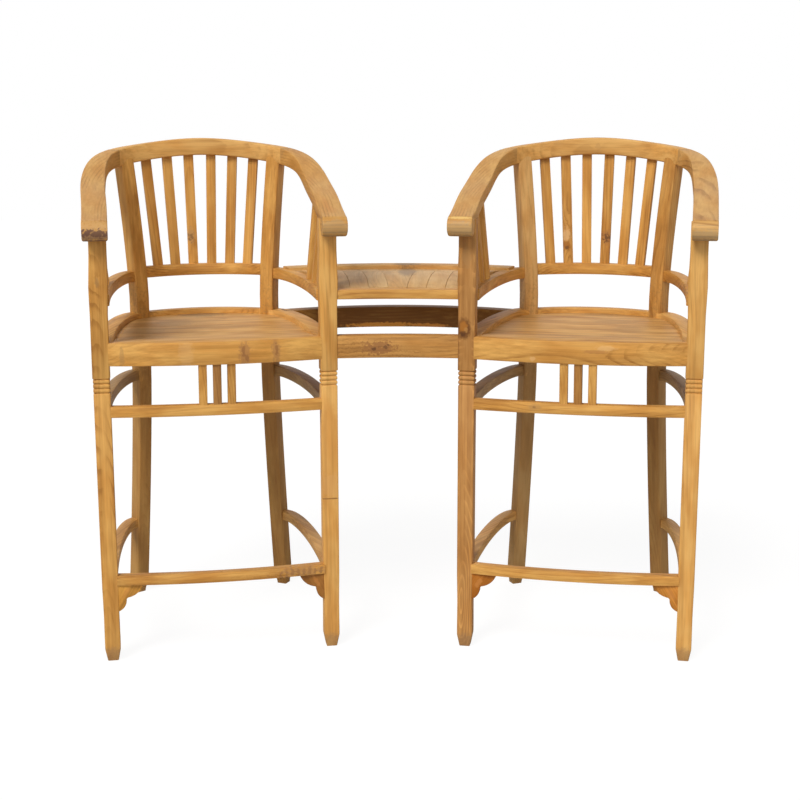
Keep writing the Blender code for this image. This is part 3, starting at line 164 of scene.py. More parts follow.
# Brackets, as a width and a height from the corner
BRACKET_REACH = 0.058
BRACKET_DROP = 0.065
BRACKET_NOTCH = (0.022, 0.032)
BRACKET_THICKNESS = 0.016
LOBE_BOW = 0.006
LOBE_STEP = 0.003
BRACKET_SINK = 0.0012
BRACKET_SETBACK = 0.0018
BRACKET_ROUNDING = 0.0014

# Seat boards
SEAT_BOARDS = 5
SEAT_DIP = 0.013
SEAT_DIP_LENGTH = 0.160
BOARD_ROUNDING = 0.0007
SEAT_BOARD_REACH = 0.62
SEAT_BOARD_STEPS = 12
TABLE_BOARD_STEPS = 16

# Table
TABLE_FRONT_WIDTH = 0.034
TABLE_FRONT_DEPTH = 0.022
TABLE_FRONT_TOP = 0.873
TABLE_REAR_Y = 0.488
TABLE_REAR_RADIUS = 0.715
TABLE_REAR_WIDTH = 0.046
TABLE_REAR_DEPTH = 0.030
TABLE_REAR_TOP = 0.879
FRONT_APRON_WIDTH = 0.032
REAR_APRON_WIDTH = 0.040
REAR_APRON_Y = 0.516
REAR_APRON_RADIUS = 0.626
APRON_BOW = 0.014
BOARD_FRONT_Y = 0.075
BOARD_REAR_Y = 0.455
MIDDLE_BOARD_REAR = 0.106
SIDE_BOARD_REAR = 0.050
SIDE_BOARDS = 5
BEYOND = 0.5
TABLE_CROWN = ((0.0, 0.0), (0.05, 0.006), (0.17, 0.0115), (0.38, 0.014), (0.66, 0.009), (1.0, -0.002))

# Lights: direction, strength, spread in degrees and whether it shows as a sheen. Camera: place and angles in degrees
LIGHTS = {
    "key": ((-0.32, -0.60, 0.74), 2.80, 24.0, True),
    "fill": ((0.12, -0.93, 0.35), 0.60, 40.0, True),
    "back": ((0.30, 0.80, 0.52), 0.4, 40.0, False),
    "left": ((-0.97, -0.10, 0.10), 0.42, 30.0, False),
    "right": ((0.97, -0.10, 0.10), 0.42, 30.0, False),
}
LIGHT_COLOUR = (1.0, 0.99, 0.97)
LIGHT_DISTANCE = 4
WHITE = (1.0, 1.0, 1.0, 1.0)
SKY = (0.95, 0.97, 1.0, 1.0)
SKY_STRENGTH = 0.17
FLOOR_SIZE = 16.0
FLOOR_PLACE = (0.0, 3.0, -0.0005)
FLOOR_GLOW = 1.12
FLOOR_GLOW_SHARE = 0.82
SENSOR = 36.0
LENS = 1514.1 / 800 * SENSOR
EYE = (0.0270, -3.4477 + FLOOR_SHIFT, 1.3577)
EYE_TURN, EYE_DIP, EYE_ROLL = 0.36, 12.07, -0.08

LEFT = -1
RIGHT = 1
SIDES = (("inner", 1), ("outer", -1))


class ChairSizes(bpy.types.PropertyGroup):
    """Sizes of the chairs' pieces."""
    seat_top: bpy.props.FloatProperty(name="Seat height", description="Top of the seat rails above the floor",
                                      default=0.765, unit="LENGTH")
    leg_width: bpy.props.FloatProperty(name="Leg width", description="Width of a front leg above its rings",
                                       default=0.040, unit="LENGTH")
    leg_half_spacing: bpy.props.FloatProperty(name="Half leg spacing", description="Middle of a front leg from "
                                              "the middle of the chair", default=0.262, unit="LENGTH")
    post_width: bpy.props.FloatProperty(name="Back leg width", description="Width of a back leg",
                                        default=0.037, unit="LENGTH")
    arm_width: bpy.props.FloatProperty(name="Arm width", description="Width of an arm seen from above",
                                       default=0.057, unit="LENGTH")
    arm_thickness: bpy.props.FloatProperty(name="Arm thickness", description="Thickness of an arm",
                                           default=0.032, unit="LENGTH")
    slat_width: bpy.props.FloatProperty(name="Back slat width", description="Width of a back slat",
                                        default=0.0245, unit="LENGTH")
    slat_thickness: bpy.props.FloatProperty(name="Slat thickness", description="Thickness of a slat",
                                            default=0.012, unit="LENGTH")
    spindle_width: bpy.props.FloatProperty(name="Spindle width", description="Width of a square spindle",
                                           default=0.019, unit="LENGTH")
    board_thickness: bpy.props.FloatProperty(name="Seat board thickness", description="Thickness of a seat board",
                                             default=0.018, unit="LENGTH")


class TableSizes(bpy.types.PropertyGroup):
    """Sizes of the table's pieces."""
    top: bpy.props.FloatProperty(name="Table height", description="Front edge of the boards above the floor",
                                 default=0.871, unit="LENGTH")
    board_thickness: bpy.props.FloatProperty(name="Board thickness", description="Thickness of a table board",
                                             default=0.017, unit="LENGTH")
    middle_board: bpy.props.FloatProperty(name="Middle board", description="Front width of the middle board",
                                          default=0.044, unit="LENGTH")
    side_board: bpy.props.FloatProperty(name="Side board", description="Front width of the other boards",
                                        default=0.0445, unit="LENGTH")


class TeakColours(bpy.types.PropertyGroup):
    """Colours of the wood."""
    light: bpy.props.FloatVectorProperty(name="Early wood", description="Pale part of a growth ring",
                                         subtype="COLOR", size=3, min=0, max=1, default=(0.685, 0.370, 0.096))
    dark: bpy.props.FloatVectorProperty(name="Late wood", description="Dark part of a growth ring",
                                        subtype="COLOR", size=3, min=0, max=1, default=(0.330, 0.140, 0.026))
    grey: bpy.props.FloatVectorProperty(name="Weathered wood", description="Wood gone grey in the sun",
                                        subtype="COLOR", size=3, min=0, max=1, default=(0.560, 0.385, 0.190))
    roughness: bpy.props.FloatProperty(name="Roughness", description="Roughness of sanded teak", default=0.52,
                                       min=0, max=1, subtype="FACTOR")
    floor: bpy.props.FloatVectorProperty(name="Floor", description="Plain pale floor", subtype="COLOR", size=3,
                                         min=0, max=1, default=(0.62, 0.61, 0.60))


# Lines that the pieces follow

def between(table, share):
    """Smooth curve through the (share, value) pairs of a table."""
    keys = [key for key, value in table]
    values = [value for key, value in table]
    slopes = []
    for i in range(len(table)):
        low = max(i - 1, 0)
        high = min(i + 1, len(table) - 1)
        slopes.append((values[high] - values[low]) / (keys[high] - keys[low]))
    slopes[-1] = 0.0
    i = max(k for k in range(len(keys) - 1) if keys[k] <= max(share, keys[0]))
    span = keys[i + 1] - keys[i]
    t = min(max((share - keys[i]) / span, 0.0), 1.0)
    rise = values[i] * (2 * t ** 3 - 3 * t ** 2 + 1) + values[i + 1] * (3 * t ** 2 - 2 * t ** 3)
    lean = slopes[i] * (t ** 3 - 2 * t ** 2 + t) + slopes[i + 1] * (t ** 3 - t ** 2)
    return rise + lean * span


def ease(value, start, end):
    t = min(max((value - start) / (end - start), 0.0), 1.0)
    return t * t * (3 - 2 * t)


def post_centre(side, height):
    """Middle of a back leg at a height."""
    reach = RING_RADIUS
    lean = 0.0
    if height < SPLAY_START:
        reach += FOOT_SPLAY * (1 - height / SPLAY_START) ** SPLAY_POWER
    if height > RAKE_START:
        lean = ((height - RAKE_START) / (RAKE_END - RAKE_START)) ** RAKE_POWER
    return Vector((side * (reach * math.sin(POST_ANGLE) + TOP_RAKE_OUT * lean),
                   RING_CENTRE_Y + reach * math.cos(POST_ANGLE) + TOP_RAKE_BACK * lean))


def bowed_path(start, end, bow, steps=24):
    start, end = Vector(start), Vector(end)
    chord = end - start
    side = Vector((chord.y, -chord.x)).normalized()
    return [start + chord * (i / steps) + side * (bow * 4 * (i / steps) * (1 - i / steps))
            for i in range(steps + 1)]


def arc_path(centre, radius, start, end, steps=24):
    """An arc about a centre, with angles measured from +Y toward +X."""
    angles = [start + (end - start) * i / steps for i in range(steps + 1)]
    return [Vector((centre[0] + radius * math.sin(a), centre[1] + radius * math.cos(a))) for a in angles]


def side_path(side, height, front_x, front_end=RAIL_FRONT_END):
    """From inside a back leg, square out of its side face, forward to the front leg."""
    post = post_centre(side, height)
    out = Vector((side * math.cos(POST_ANGLE), -math.sin(POST_ANGLE)))
    start = post + out * (chair().post_width / 2)
    lead = start + out * SIDE_LEAD_OUT
    finish = Vector((side * front_x, chair().leg_width / 2))
    aim = finish + Vector((0.0, SIDE_LEAD_IN))
    points = [post + out * 0.008]
    for i in range(25):
        t = i / 24
        points.append(start * (1 - t) ** 3 + lead * (3 * t * (1 - t) ** 2)
                      + aim * (3 * t ** 2 * (1 - t)) + finish * t ** 3)
    points.append(Vector((side * front_x, front_end)))
    return points


def arm_plan(steps=120):
    """The +X half of the arm and crest line seen from above, front tip to middle of the back."""
    reach = chair().leg_half_spacing + ARM_OVERHANG
    post = post_centre(1, RAKE_END)
    share = 1 - (post.x / reach) ** ARM_CORNER_POWER
    depth = (post.y - ARM_STRAIGHT_TO) / share ** (1 / ARM_CORNER_POWER)
    points = [Vector((reach, ARM_FRONT_Y)), Vector((reach, ARM_STRAIGHT_TO))]
    for i in range(1, steps + 1):
        angle = math.pi / 2 * i / steps
        points.append(Vector((reach * max(math.cos(angle), 0.0) ** (2 / ARM_CORNER_POWER),
                              ARM_STRAIGHT_TO + depth * math.sin(angle) ** (2 / ARM_CORNER_POWER))))
    return points


def path_lengths(path):
    lengths = [0.0]
    for here, following in zip(path, path[1:]):
        lengths.append(lengths[-1] + (following - here).length)
    return lengths


def along(path, share):
    """Point at a share of a path's length."""
    lengths = path_lengths(path)
    wanted = share * lengths[-1]
    i = max(k for k in range(len(path) - 1) if lengths[k] <= wanted)
    return path[i].lerp(path[i + 1], (wanted - lengths[i]) / (lengths[i + 1] - lengths[i]))


def share_where(plan, test, low, high):
    """Share of the plan at which a test stops being true."""
    for _ in range(30):
        middle = (low + high) / 2
        if test(along(plan, middle)):
            low = middle
        else:
            high = middle
    return low


def arm_size(share):
    turn = ease(share, *ARM_TURN)
    return (chair().arm_width + (CREST_SECTION[0] - chair().arm_width) * turn,
            chair().arm_thickness + (CREST_SECTION[1] - chair().arm_thickness) * turn)


def arm_station(distance, share):
    """Where a loop of an arm or crest goes, with its bottom, top and width."""
    width, height = arm_size(share)
    middle = between(ARM_LINE, share)
    return distance, middle - height / 2, middle + height / 2, width


def leg_face():
    """Y of the rails' front where they meet the front legs."""
    return -chair().leg_width / 2 + FRONT_SETBACK


def seat_height(y):
    front = leg_face() + SEAT_FRONT_WIDTH - SEAT_BOW
    return chair().seat_top - SEAT_DIP * ease(y, front, front + SEAT_DIP_LENGTH)


def chair_matrix(side):
    place = Matrix.Translation((side * CHAIR_HALF_SPACING, FLOOR_SHIFT, 0.0))
    return place @ Matrix.Rotation(-side * TOE_IN, 4, "Z")


def to_world(point, side):
    """A point of the left chair's drawing, seen in the world on the given side."""
    x = point[0] if side < 0 else -point[0]
    place = chair_matrix(side) @ Vector((x, point[1], 0.0))
    return Vector((place.x, place.y))


def flipped(path):
    return [Vector((-p.x, p.y)) for p in path]


def table_front_path(thickness, reach=0.010):
    inside = (chair().leg_half_spacing - reach, leg_face() + thickness / 2)
    return bowed_path(to_world(inside, LEFT), to_world(inside, RIGHT), -APRON_BOW)


def rear_path(middle_y, radius, height, front_x, front_end=RAIL_FRONT_END):
    """An arc behind the table that ends in the middle of the two inner side rails."""
    rail = [to_world(p, RIGHT) for p in side_path(1, height, front_x, front_end)]
    centre = Vector((0.0, middle_y - radius + FLOOR_SHIFT))
    best, least = 0.0, radius
    for step in range(100, 500):
        angle = math.radians(step / 10)
        point = centre + Vector((radius * math.sin(angle), radius * math.cos(angle)))
        gap = min((point - p).length for p in rail)
        if gap < least:
            least, best = gap, angle
    return arc_path(centre, radius, -best, best, 32)


def table_share(y):
    return (y - FLOOR_SHIFT - BOARD_FRONT_Y) / (BOARD_REAR_Y - BOARD_FRONT_Y)


def board_edge(number, y):
    """X of a joint between table boards; the middle board lies between joint 0 and its mirror."""
    front = table().middle_board / 2 + table().side_board * number
    rear = MIDDLE_BOARD_REAR / 2 + SIDE_BOARD_REAR * number
    return front + (rear - front) * table_share(y)


def board_sides(number, y):
    """Both sides of a table board, counted from the middle one; the outer two reach past the rails."""
    count = abs(number)
    far = board_edge(count, y) - GAP if count < SIDE_BOARDS else BEYOND
    near = board_edge(count - 1, y) + GAP if count else -far
    return (near, far) if number >= 0 else (-far, -near)


def table_height(y):
    return table().top + between(TABLE_CROWN, min(max(table_share(y), 0.0), 1.0))


def chair():
    return bpy.context.scene.double_chair


def table():
    return bpy.context.scene.double_chair_table


# Shaping by hand

def only(piece):
    """Select one object and nothing else."""
    bpy.ops.object.select_all(action="DESELECT")
    piece.select_set(True)
    bpy.context.view_layer.objects.active = piece
    return piece


def edit(piece):
    only(piece)
    bpy.ops.object.mode_set(mode="EDIT")
    bpy.ops.mesh.select_all(action="DESELECT")


def done(piece):
    bpy.ops.object.mode_set(mode="OBJECT")
    return piece


def choose(piece, kind, test):
    """In edit mode, select the vertices, edges or faces that pass a test, and nothing else."""
    bpy.ops.mesh.select_mode(type={"verts": "VERT", "edges": "EDGE", "faces": "FACE"}[kind])
    bpy.ops.mesh.select_all(action="DESELECT")
    bm = bmesh.from_edit_mesh(piece.data)
    for item in getattr(bm, kind):
        if test(item):
            item.select_set(True)
    bm.select_flush_mode()
    bmesh.update_edit_mesh(piece.data)


def block(name, size, centre=(0.0, 0.0, 0.0)):
    """A block of wood of a size, its place already in its mesh."""
    bpy.ops.object.select_all(action="DESELECT")
    bpy.ops.mesh.primitive_cube_add(size=1.0, location=centre)
    piece = bpy.context.active_object
    piece.name = name
    piece.scale = size
    bpy.ops.object.transform_apply(location=True, rotation=True, scale=True)
    return piece


def edge_along(axis):
    def test(edge):
        span = edge.verts[1].co - edge.verts[0].co
        return abs(span[axis]) > 0.9 * span.length
    return test


def round_long_edges(piece, axis, radius, segments=3):
    edit(piece)
    choose(piece, "edges", edge_along(axis))
    bpy.ops.mesh.bevel(offset=radius, offset_type="OFFSET", segments=segments, profile=0.5,
                       affect="EDGES", clamp_overlap=True)
    return done(piece)


def divide(piece, axis, cuts):
    edit(piece)
    choose(piece, "edges", edge_along(axis))
    bpy.ops.mesh.subdivide(number_cuts=cuts, quadcorner="STRAIGHT_CUT")
    return done(piece)


def apply(piece, kind, **settings):
    """Add a modifier with its settings and apply it."""
    only(piece)
    modifier = piece.modifiers.new(kind.title(), kind)
    for key, value in settings.items():
        setattr(modifier, key, value)
    bpy.ops.object.modifier_apply(modifier=modifier.name)
    return piece


# Settings of a bevel on every sharp corner
EVERY_CORNER = dict(limit_method="ANGLE", angle_limit=math.radians(40), use_clamp_overlap=True)


def saw(piece, tools, operation="DIFFERENCE"):
    for tool in tools:
        apply(piece, "BOOLEAN", object=tool, operation=operation, solver="EXACT")
    return piece


def discard(pieces):
    for piece in pieces:
        bpy.data.objects.remove(piece)


def outward(piece):
    """Turn every face outward again, as after a mirroring."""
    edit(piece)
    bpy.ops.mesh.select_all(action="SELECT")
    bpy.ops.mesh.normals_make_consistent(inside=False)
    return done(piece)


def outline_curve(name, points, cyclic):
    curve = bpy.data.curves.new(name, "CURVE")
    spline = curve.splines.new("POLY")
    spline.points.add(len(points) - 1)
    for place, point in zip(spline.points, points):
        place.co = (point[0], point[1], 0.0, 1.0)
    spline.use_cyclic_u = cyclic
    drawn = bpy.data.objects.new(name, curve)
    bpy.context.scene.collection.objects.link(drawn)
    return drawn


def sawn_board(name, outline, bottom, top):
    """A board lying flat between two heights, sawn to an outline."""
    drawn = outline_curve(name, outline, True)
    drawn.data.dimensions = "2D"
    drawn.data.fill_mode = "BOTH"
    drawn.data.extrude = (top - bottom) / 2
    drawn.location.z = (top + bottom) / 2
    only(drawn)
    bpy.ops.object.convert(target="MESH")
    bpy.ops.object.transform_apply(location=True, rotation=True, scale=True)
    piece = bpy.context.active_object
    edit(piece)
    bpy.ops.mesh.select_all(action="SELECT")
    bpy.ops.mesh.remove_doubles(threshold=0.00001)
    bpy.ops.mesh.dissolve_limited(angle_limit=math.radians(0.05))
    bpy.ops.mesh.normals_make_consistent(inside=False)
    return done(piece)


def strip_outline(path, width):
    left, right = [], []
    for i, point in enumerate(path):
        span = (path[min(i + 1, len(path) - 1)] - path[max(i - 1, 0)]).normalized()
        side = Vector((-span.y, span.x)) * (width / 2)
        left.append(point + side)
        right.append(point - side)
    return left + right[::-1]


def bend(piece, path):
    """Bend a piece that lies along +X from the origin so that it follows a path in plan."""
    guide = outline_curve("guide", path, False)
    guide.data.dimensions = "3D"
    guide.data.twist_mode = "Z_UP"
    apply(piece, "CURVE", object=guide, deform_axis="POS_X")
    discard([guide])
    return piece


def blank(name, length, width, height, radius, cuts, segments=3):
    """A straight blank along +X from the origin, long edges rounded, ready to be shaped and bent."""
    piece = block(name, (length, width, height), (length / 2, 0.0, 0.0))
    round_long_edges(piece, 0, radius, segments)
    return divide(piece, 0, cuts)


def shape_loops(piece, length, width, height, stations):
    """Move and resize each loop of a blank: stations give (distance, bottom, top, width)."""
    count = len(stations) - 1
    edit(piece)
    bm = bmesh.from_edit_mesh(piece.data)
    loops = [{v.index for v in bm.verts if abs(v.co.x - length * i / count) < 1e-5} for i in range(count + 1)]
    for i, (distance, bottom, top, wide) in enumerate(stations):
        choose(piece, "verts", lambda v: v.index in loops[i])
        here = (length * i / count, 0.0, 0.0)
        bpy.ops.transform.resize(value=(1.0, wide / width, (top - bottom) / height), center_override=here)
        bpy.ops.transform.translate(value=(distance - here[0], 0.0, (top + bottom) / 2))
    return done(piece)


def bent_rail(name, path, width, depth, top, radius=RAIL_ROUNDING, cuts=24):
    piece = blank(name, path_lengths(path)[-1], width, depth, radius, cuts, 2)
    edit(piece)
    bpy.ops.mesh.select_all(action="SELECT")
    bpy.ops.transform.translate(value=(0.0, 0.0, top - depth / 2))
    done(piece)
    return bend(piece, path)


def bowed_rail(name, leg, setback, width, depth, top, full_bow, radius=RAIL_ROUNDING, steps=24):
    """A rail between the front legs, bowed to the front, where the legs have the given width."""
    half = chair().leg_half_spacing
    face = half - leg / 2 + 0.001
    bow = full_bow * (face / half) ** 2
    y = -chair().leg_width / 2 + setback + width / 2 - (full_bow - bow)
    return bent_rail(name, bowed_path((-face, y), (face, y), bow, steps), width, depth, top, radius, steps)


def side_rails(name, top, depth, front_x, front_end=RAIL_FRONT_END, width=SIDE_RAIL_WIDTH, radius=THIN_ROUNDING,
               lean=0.35, upright=False):
    """The pair of side rails of a chair; an upright one shows its side, another its top."""
    for word, side in SIDES:
        path = side_path(side, top - depth / 2, front_x, front_end)
        piece = bent_rail(name + word, path, width, depth, top, radius, SIDE_CUTS)
        both_chairs(piece, (side * -lean, 1, 0), (side, 0, 0) if upright else (0, 0, 1))


def stick(name, start, end, width, thickness, across):
    """A straight stick from start to end, its width turned toward the direction across."""
    start, end = Vector(start), Vector(end)
    length = (end - start).length
    piece = block(name, (length, width, thickness))
    round_long_edges(piece, 0, STICK_ROUNDING, 2)
    direction = (end - start).normalized()
    side = (Vector(across) - direction * direction.dot(Vector(across))).normalized()
    turn = Matrix((direction, side, direction.cross(side))).transposed().to_4x4()
    piece.matrix_world = Matrix.Translation((start + end) / 2) @ turn
    return settle(piece)


def opening_in(ring, bottom, top, rails, legs):
    """The space inside a ring, less its rails (path, width) and legs (width, place, turn) with their gap."""
    opening = sawn_board("opening", ring, bottom, top)
    walls = [sawn_board("wall", strip_outline(path, width + 2 * GAP), bottom - 0.02, top + 0.02)
             for path, width in rails]
    for width, place, turn in legs:
        leg = block("corner", (width + 2 * GAP,) * 2 + (0.2,))
        leg.matrix_world = Matrix.Translation(place) @ Matrix.Rotation(turn, 4, "Z")
        walls.append(settle(leg))
    saw(opening, walls)
    discard(walls)
    return opening


def fitted_board(name, width, y_front, y_back, thickness, steps, height, opening, sides=None):
    """A board whose top follows a height line and whose sides may follow a pair of lines, sawn to an opening."""
    piece = block(name, (width, y_back - y_front, thickness), (0.0, (y_front + y_back) / 2, 0.0))
    divide(piece, 1, steps - 1)
    edit(piece)
    for i in range(steps + 1):
        y = y_front + (y_back - y_front) * i / steps
        middle = 0.0
        choose(piece, "verts", lambda v: abs(v.co.y - y) < 1e-5)
        if sides:
            low, high = sides(y)
            middle = (low + high) / 2
            bpy.ops.transform.resize(value=(high - low, 1.0, 1.0), center_override=(0.0, y, 0.0))
        bpy.ops.transform.translate(value=(middle, 0.0, height(y) - thickness / 2))
    done(piece)
    saw(piece, [opening], "INTERSECT")
    return apply(piece, "BEVEL", width=BOARD_ROUNDING, segments=1, **EVERY_CORNER)


def pull(piece, test, shift, reach):
    """Shift the end of a piece that passes a test toward +X, fading out over a reach."""
    edit(piece)
    choose(piece, "verts", test)
    bpy.ops.transform.translate(value=(shift, 0.0, 0.0), use_proportional_edit=True,
                                proportional_edit_falloff="SMOOTH", proportional_size=reach)
    return done(piece)


def settle(piece):
    only(piece)
    bpy.ops.object.transform_apply(location=True, rotation=True, scale=True)
    return piece


def draw_up(name, levels, radius):
    """A square leg drawn upwards: levels give (centre x, centre y, height, width, turn)."""
    x, y, z, width, turn = levels[0]
    rise = levels[1][2] - z
    piece = block(name, (width, width, rise), (0.0, 0.0, rise / 2))
    round_long_edges(piece, 2, radius * width / levels[-1][3])
    piece.matrix_world = Matrix.Translation((x, y, z)) @ Matrix.Rotation(turn, 4, "Z")
    settle(piece)
    edit(piece)
    choose(piece, "faces", lambda f: f.normal.z > 0.9)
    for number, level in enumerate(levels[1:]):
        if number:
            bpy.ops.mesh.extrude_region_move(
                TRANSFORM_OT_translate={"value": (level[0] - x, level[1] - y, level[2] - z)})
        else:
            bpy.ops.transform.translate(value=(level[0] - x, level[1] - y, 0.0))
        x, y, z = level[:3]
        scale = level[3] / width
        bpy.ops.transform.resize(value=(scale, scale, 1.0), center_override=(x, y, z))
        width = level[3]
    return done(piece)


# Teak

def wire(tree, kind, **sockets):
    """A node with its settings and inputs; a socket value that is a NodeSocket is linked."""
    node = tree.nodes.new(kind)
    for key, value in sockets.items():
        if key.startswith("set_"):
            setattr(node, key[4:], value)
            continue
        socket = node.inputs[int(key[1:])] if key[0] == "i" and key[1:].isdigit() else node.inputs[key]
        if isinstance(value, bpy.types.NodeSocket):
            tree.links.new(value, socket)
        else:
            socket.default_value = value
    return node


def math_node(tree, operation, a, b=0.0, c=0.0, clamp=False):
    return wire(tree, "ShaderNodeMath", set_operation=operation, set_use_clamp=clamp, i0=a, i1=b, i2=c).outputs[0]


def vector_node(tree, operation, a, b):
    return wire(tree, "ShaderNodeVectorMath", set_operation=operation, i0=a, i1=b).outputs[0]


def ramp(tree, value, start, end, low=0.0, high=1.0, kind="LINEAR"):
    """Low up to start, high from end on, and a slope of a kind between them."""
    return wire(tree, "ShaderNodeMapRange", set_interpolation_type=kind, i0=value, i1=start, i2=end, i3=low,
                i4=high).outputs[0]


def mix_colour(tree, factor, a, b):
    return wire(tree, "ShaderNodeMix", set_data_type="RGBA", set_clamp_factor=True, i0=factor, i6=a, i7=b).outputs[2]


def node_group(name, vectors, numbers, results):
    """A new node group, as its tree, its inputs and the sockets of its results."""
    tree = bpy.data.node_groups.new(name, "ShaderNodeTree")
    face = tree.interface
    for socket in vectors:
        face.new_socket(socket, in_out="INPUT", socket_type="NodeSocketVector")
    for socket, value in numbers:
        face.new_socket(socket, in_out="INPUT", socket_type="NodeSocketFloat").default_value = value
    for socket in results:
        face.new_socket(socket, in_out="OUTPUT", socket_type="NodeSocketFloat")
    return tree, tree.nodes.new("NodeGroupInput").outputs, tree.nodes.new("NodeGroupOutput").inputs


def teak_group():
    """Solid teak in board coordinates, with X along the grain: growth rings round a pith beside the board."""
    numbers = (("Seed", 0.0), ("Pith across", 0.05), ("Pith depth", -0.03), ("Ring width", 0.007), ("Figure", 0.5),
               ("Tone", 0.5), ("Swirl", 0.0), ("Lean", 0.05), ("Contrast", 1.0))
    tree, put, results = node_group("Teak grain", ("Vector",), numbers, ("Dark", "Fibre", "Cloud"))
    calc = partial(math_node, tree)
    seed = wire(tree, "ShaderNodeCombineXYZ", X=put["Seed"], Y=calc("MULTIPLY", put["Seed"], 1.7),
                Z=calc("MULTIPLY", put["Seed"], 0.6)).outputs[0]
    place = vector_node(tree, "ADD", put["Vector"], seed)

    def noise(scale, detail, rough=0.5):
        return wire(tree, "ShaderNodeTexNoise", Vector=vector_node(tree, "MULTIPLY", place, scale), Scale=1.0,
                    Detail=detail, Roughness=rough).outputs["Fac"]

    # How far the point lies from the pith, which leans along the board and wanders a little
    apart = wire(tree, "ShaderNodeSeparateXYZ", i0=put["Vector"]).outputs
    wander = calc("MULTIPLY_ADD", noise((2.2, 7.0, 7.0), 1.0), 0.020, -0.010)
    wrinkle = calc("MULTIPLY_ADD", noise((9.0, 45.0, 45.0), 2.0), 0.0036, -0.0018)
    across = calc("SUBTRACT", calc("ADD", apart[1], wander), put["Pith across"])
    depth = calc("SUBTRACT", calc("ADD", apart[2], calc("MULTIPLY", apart[0], put["Lean"])), put["Pith depth"])
    radius = calc("SQRT", calc("ADD", calc("MULTIPLY", across, across), calc("MULTIPLY", depth, depth)))
    radius = calc("ADD", calc("ADD", radius, put["Swirl"]), wrinkle)
    saw_tooth = calc("FRACT", calc("DIVIDE", radius, put["Ring width"]))
    late = ramp(tree, saw_tooth, 0.45, 0.92, kind="SMOOTHERSTEP")
    drop = ramp(tree, saw_tooth, 0.92, 1.0, 1.0, 0.0, kind="SMOOTHSTEP")
    strength = ramp(tree, noise((2.5, 30.0, 30.0), 2.0), 0.42, 0.66)
    rings = calc("MULTIPLY", calc("MULTIPLY", late, drop), strength)
    streaks = noise((6.0, 210.0, 210.0), 3.0, 0.6)
    bands = noise((3.2, 62.0, 62.0), 2.0, 0.55)
    fibre = noise((26.0, 1100.0, 1100.0), 2.0, 0.6)
    cloud = noise((9.0, 26.0, 26.0), 2.0)

    # Dark share of the colour
    dark = calc("MULTIPLY", rings, put["Figure"])
    for part, amount in ((streaks, 0.95), (bands, 1.15), (fibre, 0.40), (cloud, 0.85)):
        swing = calc("MULTIPLY", put["Contrast"], amount)
        dark = calc("ADD", dark, calc("MULTIPLY", calc("SUBTRACT", part, 0.5), swing))
    tree.links.new(calc("ADD", dark, put["Tone"], clamp=True), results["Dark"])
    tree.links.new(calc("ADD", fibre, calc("MULTIPLY", streaks, 0.6)), results["Fibre"])
    tree.links.new(cloud, results["Cloud"])
    return tree


def mark_group():
    """A soft mark round a point: its strength, and how far it pushes the growth rings away."""
    tree, put, results = node_group("Mark", ("Vector", "Centre", "Size"), (("Ragged", 0.3),), ("Mask", "Near"))
    calc = partial(math_node, tree)
    away = vector_node(tree, "DIVIDE", vector_node(tree, "SUBTRACT", put["Vector"], put["Centre"]), put["Size"])
    distance = wire(tree, "ShaderNodeVectorMath", set_operation="LENGTH", i0=away).outputs["Value"]
    ragged = wire(tree, "ShaderNodeTexNoise", Vector=put["Vector"], Scale=150.0, Detail=3.0).outputs["Fac"]
    ragged = calc("MULTIPLY", calc("SUBTRACT", ragged, 0.5), put["Ragged"])
    distance = calc("ADD", distance, calc("MULTIPLY", ragged, 4.0))
    tree.links.new(ramp(tree, distance, 1.0, 0.55, kind="SMOOTHSTEP"), results["Mask"])
    tree.links.new(calc("EXPONENT", calc("MULTIPLY", calc("MULTIPLY", distance, distance), -0.22)), results["Near"])
    return tree


def shared(name, build):
    """A node group that is built when a piece first needs it."""
    return bpy.data.node_groups.get(name) or build()


def board_axes(grain, face):
    """Turn that lays board X along the grain and board Z out of the visible face."""
    x = Vector(grain).normalized()
    z = (Vector(face) - x * x.dot(Vector(face))).normalized()
    return Matrix((x, z.cross(x), z)).transposed()


